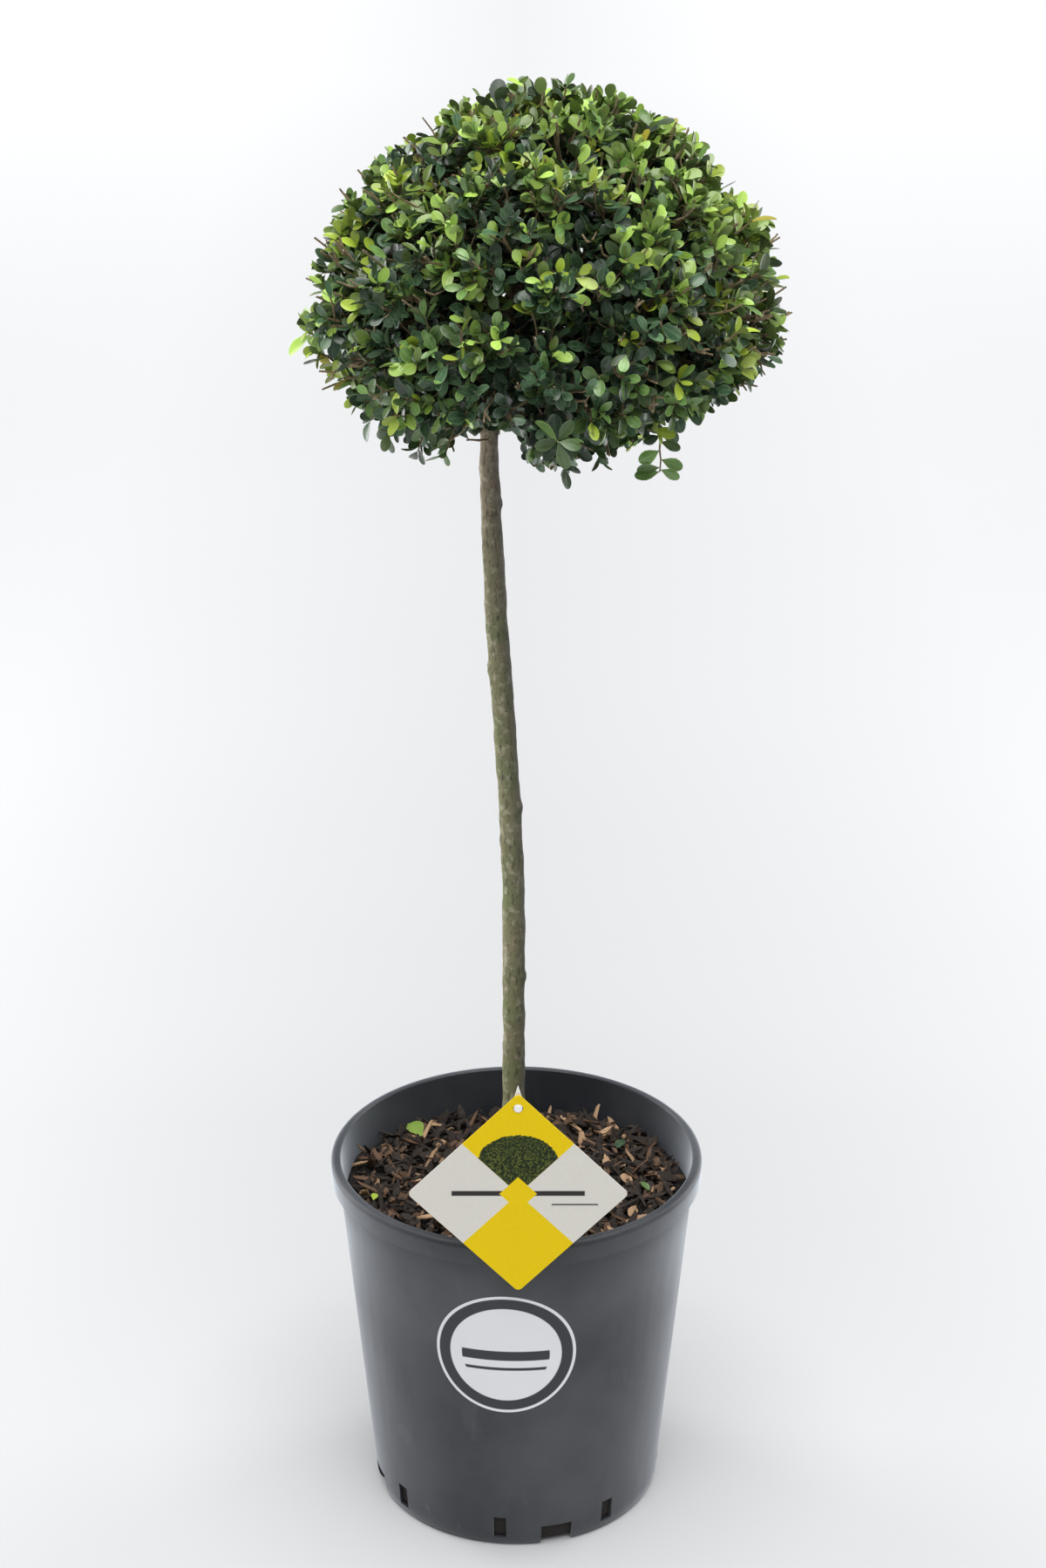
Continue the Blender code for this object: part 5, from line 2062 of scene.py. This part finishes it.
    def leaf_up(self, line: Line, habit: Habit) -> None:
        """Puts the leaves on one shoot, spiralling back from its tip.

        Args:
            line: the shoot's line.
            habit: how it bears them.
        """
        way = (line[-1] - line[-2]).normalized()
        side = way.orthogonal().normalized()
        turn = self.draw.uniform(0, math.tau)
        back = 0.0
        length = length_of(line)
        end = line[-1] - self.ball.middle
        limit = self.leaf_level - self.sink * (end.z < self.sunk_below) - self.thinned(end.normalized())
        limit = self.stray_level if habit.spread else limit
        first, more, most = self.leaf_angles
        along, outward, upward = self.leaf_faces
        young, growth = self.young
        for index in range(habit.leaves):
            root = point_on(line, back)
            turn += GOLDEN_ANGLE + self.draw.uniform(-self.leaf_turn, self.leaf_turn)
            aside = way.cross(FRONT) * (-1) ** index if habit.flat else Matrix.Rotation(turn, 3, way) @ side
            spread = math.radians(habit.spread or min(first + more * index, most))
            spread += self.draw.uniform(-self.leaf_angle_draw, self.leaf_angle_draw)
            blade = way * math.cos(spread) + aside * math.sin(spread)
            blade += UP * self.pick(self.leaf_lift)
            face = way * (along + outward * math.sin(spread)) - aside * outward * math.cos(spread) + UP * upward
            face = (FRONT if habit.flat else face) + self.stray(self.face_draws[habit.flat])
            grown = 1.0 if habit.spread else young + growth * min(index / 3, 1.0)
            size = self.pick(self.leaf_length) * (grown * habit.larger)
            tone = habit.tones[min(index // 3, 2)]
            if tone is Tone.FRESH and self.draw.random() < self.golden:
                tone = Tone.GOLD
            tip = root + blade.normalized() * size
            if self.ball.level(tip) < limit and not self.hides_stem(tip) and not self.hides_stem((root + tip) / 2):
                form = self.draw.randrange(len(self.leaf_kinds))
                self.leaves[tone].append(leaf_row(root, blade, face, size, form, self.draw.random() * habit.light))
            back += self.pick(self.leaf_step) * (self.tip_step if index < 2 else 1.0) * habit.step
            if back > length * self.leafy_share:
                break

    def leave_cut_twigs(self, ends: Ends) -> None:
        """Grows the bare twigs that the shears cut, which stand a little out of the leaves.

        Args:
            ends: the twigs' ends that they may grow from.
        """
        waist = self.ball.middle.z - self.cut_waist
        for place in self.spread(self.cut_twigs, self.cut_level, 1.7):
            if self.hides_stem(place) or (place.z < waist and self.draw.random() < self.cut_dropped):
                continue
            points = self.line(*ends.best(place), place, self.heading(place), self.cut_radii)
            if self.draw.random() < self.cut_forks:
                root = point_on(points, self.pick(self.cut_fork_back))
                aside = (self.heading(place) + self.shake(self.cut_fork_draw)).normalized()
                end = root + aside * self.pick(self.cut_fork_length)
                if self.ball.level(end) < self.cut_level[1]:
                    self.line(root, aside, end, aside, self.cut_radii)

    def leave_sprigs(self, ends: Ends) -> None:
        """Grows the sprigs that the shears missed.

        Args:
            ends: the twigs' ends that they may grow from.
        """
        for sprig in SPRIGS:
            end, heading = Vector(sprig.tip), Vector(sprig.way).normalized()
            start = end - heading * sprig.length
            self.line(*ends.best(start), start, heading, self.cut_radii)
            points = self.line(start, heading, end, heading, self.limb_radii[3:5])
            self.leaf_up(points, sprig.habit)

    def twig_tree(self) -> Growth:
        """The tree that gives each line a round, tapering skin.

        Returns:
            The tree.
        """
        tree = Growth("twig_skin", Sides="Int", Finish="Material")
        curve = tree.add("GeometryNodeMeshToCurve", {"Mesh": tree.given["Geometry"]})
        values = {"Resolution": tree.given["Sides"], "Radius": 1.0}
        ring = tree.add("GeometryNodeCurvePrimitiveCircle", values)
        values = {
            "Curve": curve.outputs["Curve"],
            "Profile Curve": ring.outputs["Curve"],
            "Scale": tree.named("thickness", "FLOAT"),
            "Fill Caps": True,
        }
        tree.finish(tree.add("GeometryNodeCurveToMesh", values).outputs["Mesh"])
        return tree

    def leaf_tree(self) -> Growth:
        """The tree that puts a leaf on each point, turned and sized as the point says.

        Returns:
            The tree.
        """
        tree = Growth("leaf_sprays", Leaf_forms="Collection", Size="Float", Finish="Material")
        given = tree.given
        size = tree.times(tree.named("length", "FLOAT"), given["Size"])
        turn, form = tree.named("turn", "FLOAT_VECTOR"), tree.named("form", "INT")
        tree.put(given["Geometry"], given["Leaf forms"], form, turn, size)
        return tree

    def skin(self, lines: list[tuple[Line, list[float]]], name: str, sides: int) -> Object:
        """Turns grown lines into one piece.

        Args:
            lines: each line's points and radii.
            name: the piece's name.
            sides: how many sides each twig has.

        Returns:
            The piece.
        """
        points, thickness, edges = [], [], []
        for line, radii in lines:
            edges += [(len(points) + index, len(points) + index + 1) for index in range(len(line) - 1)]
            points += [tuple(point) for point in line]
            thickness += radii
        mesh = bpy.data.meshes.new(name + "_lines")
        mesh.from_pydata(points, edges, [])
        bare = as_object(name + "_lines", mesh)
        mark(bare, "thickness", thickness)
        return smoothed(self.twig_tree().run(bare, name, Sides=sides, Finish=TWIG_BARK.material()))

    def leafed(self, rows: list[tuple], name: str, finish: Material) -> Object:
        """Turns rows of leaves into one piece.

        Args:
            rows: each leaf as leaf_row puts it.
            name: the piece's name.
            finish: its material.

        Returns:
            The piece.
        """
        table = np.array(rows)
        mesh = bpy.data.meshes.new(name + "_points")
        mesh.vertices.add(len(table))
        mesh.vertices.foreach_set("co", table[:, :3].astype(np.float32).ravel())
        cloud = as_object(name + "_points", mesh)
        mark(cloud, "turn", table[:, 3:6], "FLOAT_VECTOR")
        mark(cloud, "length", table[:, 6])
        mark(cloud, "form", table[:, 7], "INT")
        mark(cloud, "tint", table[:, 8])
        return self.tree.run(cloud, name, Leaf_forms=self.forms, Size=1.0, Finish=finish)

    def build(self) -> None:
        """Grows the crown, turns it into pieces by kind and tone, and hands them over."""
        leaves = [kind.build(f"leaf_{index}") for index, kind in enumerate(self.leaf_kinds)]
        leaves[0].data.calc_loop_triangles()
        triangles = len(leaves[0].data.loop_triangles)
        self.forms = set_aside("leaf_forms", leaves)
        self.tree = self.leaf_tree()
        self.grow()
        names = [mass.name for mass in self.masses]
        for lines, name, sides in zip((self.limbs, self.shoots), ("twigs", "shoots"), self.sides):
            hand_over(self.skin(lines, name, sides), names)
        for tone, rows in self.leaves.items():
            material = LEAF_FINISHES[tone].material()
            pieces = math.ceil(len(rows) * triangles / self.most_triangles)
            for index in range(pieces):
                name = f"leaves_{tone.value}_{index + 1}"
                hand_over(self.leafed(rows[index::pieces], name, material), names)
        total = sum(len(rows) for rows in self.leaves.values())
        LOG.info("%d leaves on %d limbs and %d shoots", total, len(self.limbs), len(self.shoots))
        self.drop_leaves()

    def drop_leaves(self) -> None:
        """Lays the few fallen leaves on the compost, each as its own piece."""
        for index, (x, y, size, tone) in enumerate(self.fallen):
            root = Vector((x, y, self.compost.surface(x, y) + self.fallen_rise))
            turn = index * GOLDEN_ANGLE + self.fallen_turn
            way = Vector((math.cos(turn), math.sin(turn), 0.1))
            row = leaf_row(root, way, UP + FRONT * 0.9, size, index % len(self.leaf_kinds), 0.5)
            finish = LEAF_FINISHES[tone].material()
            hand_over(self.leafed([row], f"fallen_leaf_{index + 1}", finish))


# ---- label


@dataclass
class PlantLabel:
    """The square card, hung by one corner from a stick planted inside the rim."""

    side: float = 0.120
    thickness: float = 0.0010
    corner: float = 0.004
    centre: Vector = field(default_factory=lambda: Vector((0.0016, -0.1496, 0.3475)))
    lean: float = math.radians(2)
    hole_radius: float = 0.0040
    hole_drop: float = 0.0125
    arc_steps: int = 8
    hole_steps: int = 32
    stick_width: float = 0.0066
    stick_thickness: float = 0.0016
    stick_top: float = 0.4380
    stick_foot: float = 0.2150
    stick_point: float = 0.012
    stick_lean: float = math.radians(5)
    stick_behind: float = 0.0032
    peg_radius: float = 0.0032
    peg_proud: float = 0.001
    peg_sides: int = 28
    edge: float = 0.00025
    sharp_angle: float = math.radians(40)

    def card_frame(self) -> Matrix:
        """The card's own plane stood up, its X to the right and its Y up the card."""
        return Matrix.Translation(self.centre) @ Matrix.Rotation(math.pi / 2 - self.lean, 4, "X")

    def hole_rise(self) -> float:
        """How far up the card the hanging hole is."""
        return self.side / math.sqrt(2) - self.hole_drop

    def hole(self) -> Vector:
        """The middle of the hanging hole."""
        return self.card_frame() @ Vector((0.0, self.hole_rise(), 0.0))

    def card(self) -> Object:
        """The card with its rounded corners and its hole.

        Returns:
            The card, with softened edges.
        """
        curve = bpy.data.curves.new("card_outline", "CURVE")
        curve.dimensions = "2D"
        curve.fill_mode = "BOTH"
        curve.extrude = self.thickness / 2 - self.edge / 2
        curve.bevel_depth = self.edge / 2
        inset = self.side / 2 - self.corner
        outline = []
        for turn in [corner * math.pi / 2 for corner in range(4)]:
            middle = Matrix.Rotation(turn, 2) @ Vector((inset, inset))
            for angle in np.linspace(turn, turn + math.pi / 2, self.arc_steps):
                outline.append(middle + (self.corner - self.edge / 2) * Vector((math.cos(angle), math.sin(angle))))
        outline = [Matrix.Rotation(math.pi / 4, 2) @ point for point in outline]
        rise, radius = self.hole_rise(), self.hole_radius
        turns = np.linspace(0, math.tau, self.hole_steps, endpoint=False)
        hole = [Vector((radius * math.cos(angle), rise - radius * math.sin(angle))) for angle in turns]
        for points in (outline, hole):
            spline = curve.splines.new("POLY")
            spline.points.add(len(points) - 1)
            spline.use_cyclic_u = True
            for point, place in zip(spline.points, points):
                point.co = (place.x, place.y, 0.0, 1.0)
        card = plain(as_object("card_outline", curve), "label_print")
        card.data.transform(self.card_frame())
        form = bmesh.new()
        form.from_mesh(card.data)
        bmesh.ops.remove_doubles(form, verts=form.verts, dist=TINY)
        bmesh.ops.recalc_face_normals(form, faces=form.faces)
        form.to_mesh(card.data)
        form.free()
        return card

    def stick(self) -> Object:
        """The flat stick with its pointed top and the peg that holds the card.

        Returns:
            The stick, with softened edges.
        """
        back = self.thickness / 2 + self.stick_behind + self.stick_thickness / 2
        stand = Matrix.Translation(self.hole() + Vector((0.0, back, 0.0))) @ Matrix.Rotation(self.stick_lean, 4, "X")
        above = self.stick_top - stand.translation.z
        below = stand.translation.z - self.stick_foot
        half, deep = self.stick_width / 2, self.stick_thickness / 2
        outline = [(-half, -below), (half, -below), (half, above - self.stick_point), (0.0, above)]
        outline.append((-half, above - self.stick_point))
        form = bmesh.new()
        front = form.faces.new([form.verts.new((x, -deep, z)) for x, z in outline])
        grown = bmesh.ops.extrude_face_region(form, geom=[front])
        moved = [item for item in grown["geom"] if isinstance(item, BMVert)]
        bmesh.ops.translate(form, verts=moved, vec=(0.0, 2 * deep, 0.0))
        bmesh.ops.recalc_face_normals(form, faces=form.faces)
        bmesh.ops.bevel(form, geom=form.edges[:], offset=self.edge, segments=2, affect="EDGES")
        form.transform(stand)
        through = self.thickness + self.stick_behind + self.stick_thickness
        middle = self.hole() + Vector((0.0, through / 2 - self.peg_proud, 0.0))
        peg = bmesh.new()
        size = {"segments": self.peg_sides, "radius1": self.peg_radius, "radius2": self.peg_radius, "depth": through}
        bmesh.ops.create_cone(peg, cap_ends=True, **size)
        caps = [edge for edge in peg.edges if len(edge.link_faces) == 2 and edge.calc_face_angle() > 1.0]
        bmesh.ops.bevel(peg, geom=caps, offset=2 * self.edge, segments=3, affect="EDGES")
        peg.transform(Matrix.Translation(middle) @ Matrix.Rotation(math.pi / 2, 4, "X"))
        join(form, peg)
        return from_form("label_stake", form)

    def build(self) -> None:
        """Builds the card and its stick, and hands them over."""
        colours = (0.72, 0.70, 0.635), (0.84, 0.60, 0.001), (0.035, 0.030, 0.030)
        finish = CardFinish("label_card", *colours, self.centre, self.side)
        hand_over(dress(self.card(), finish.material()), ["plant_label"])
        stick = smoothed(self.stick(), self.sharp_angle)
        hand_over(dress(stick, WHITE_PLASTIC.material()), ["label_stick"])


# ---- studio


@dataclass
class Lamp:
    """A soft panel of light that looks at the plant."""

    name: str
    place: Triple
    size: Pair
    power: float
    aim: Triple = (0.0, 0.0, 0.6)

    def build(self) -> None:
        """Hangs the lamp, unseen by the camera."""
        light = bpy.data.lights.new(self.name, "AREA")
        light.shape = "RECTANGLE"
        light.size, light.size_y = self.size
        light.energy = self.power
        lamp = as_object(self.name, light)
        lamp.location = self.place
        way = Vector(self.aim) - lamp.location
        lamp.rotation_euler = way.to_track_quat("-Z", "Y").to_euler()
        lamp.visible_camera = False


@dataclass
class Studio:
    """The plain pale floor, the soft light and the camera."""

    floor_size: float = 60.0
    ambient: Colour = (0.94, 0.96, 1.0)
    ambient_strength: float = 0.22
    softness: float = math.radians(58)
    broad_lights: tuple[tuple[str, float, Pair], ...] = (
        ("sky_panel", 2.95, (math.radians(7), math.radians(1))),
        ("front_panel", 0.85, (math.radians(36), math.radians(1))),
    )
    camera_place: Triple = (0.0053, -2.468, 1.689)
    camera_pitch: float = math.radians(90 - 23.354)
    camera_lens: float = 80.04
    lamps: tuple[Lamp, ...] = (
        Lamp("left_panel", (-2.0, 1.2, 1.0), (1.0, 2.0), 26.0),
        Lamp("right_panel", (2.0, 1.2, 1.0), (1.0, 2.0), 21.0),
        Lamp("far_panel", (0.0, 11.0, 4.5), (12.0, 5.0), 20.0, (0.0, 11.0, 0.0)),
    )

    def build(self) -> None:
        """Lays the floor, hangs the lamps and stands the camera."""
        form = bmesh.new()
        bmesh.ops.create_grid(form, x_segments=1, y_segments=1, size=self.floor_size / 2)
        floor = dress(from_form("floor", form), STUDIO_FLOOR.material())
        for name, strength, tilt in self.broad_lights:
            light = bpy.data.lights.new(name, "SUN")
            light.energy = strength
            light.angle = self.softness
            as_object(name, light).rotation_euler = (*tilt, 0.0)
        for lamp in self.lamps:
            lamp.build()
        scene = bpy.context.scene
        scene.world = bpy.data.worlds.new("studio_air")
        scene.world.use_nodes = True
        air = scene.world.node_tree.nodes["Background"].inputs
        air["Color"].default_value = (*self.ambient, 1.0)
        air["Strength"].default_value = self.ambient_strength
        scene.view_settings.view_transform = "Standard"
        lens = bpy.data.cameras.new("camera")
        lens.lens = self.camera_lens
        scene.camera = as_object("camera", lens)
        scene.camera.location = self.camera_place
        scene.camera.rotation_euler = (self.camera_pitch, 0.0, 0.0)


def main() -> None:
    """Builds every sub-assembly in order."""
    logging.basicConfig(level=logging.INFO, format="%(name)s: %(message)s")
    Studio().build()
    pot = Pot()
    pot.build()
    PotPrint(pot).build()
    compost = Compost(pot)
    compost.build()
    ball, stem = Ball(), Stem()
    plan = Masses(ball, stem)
    masses = plan.plan()
    stem.build(plan.boughs(masses))
    Crown(ball, stem, masses, compost).build()
    PlantLabel().build()


if __name__ == "__main__":
    main()
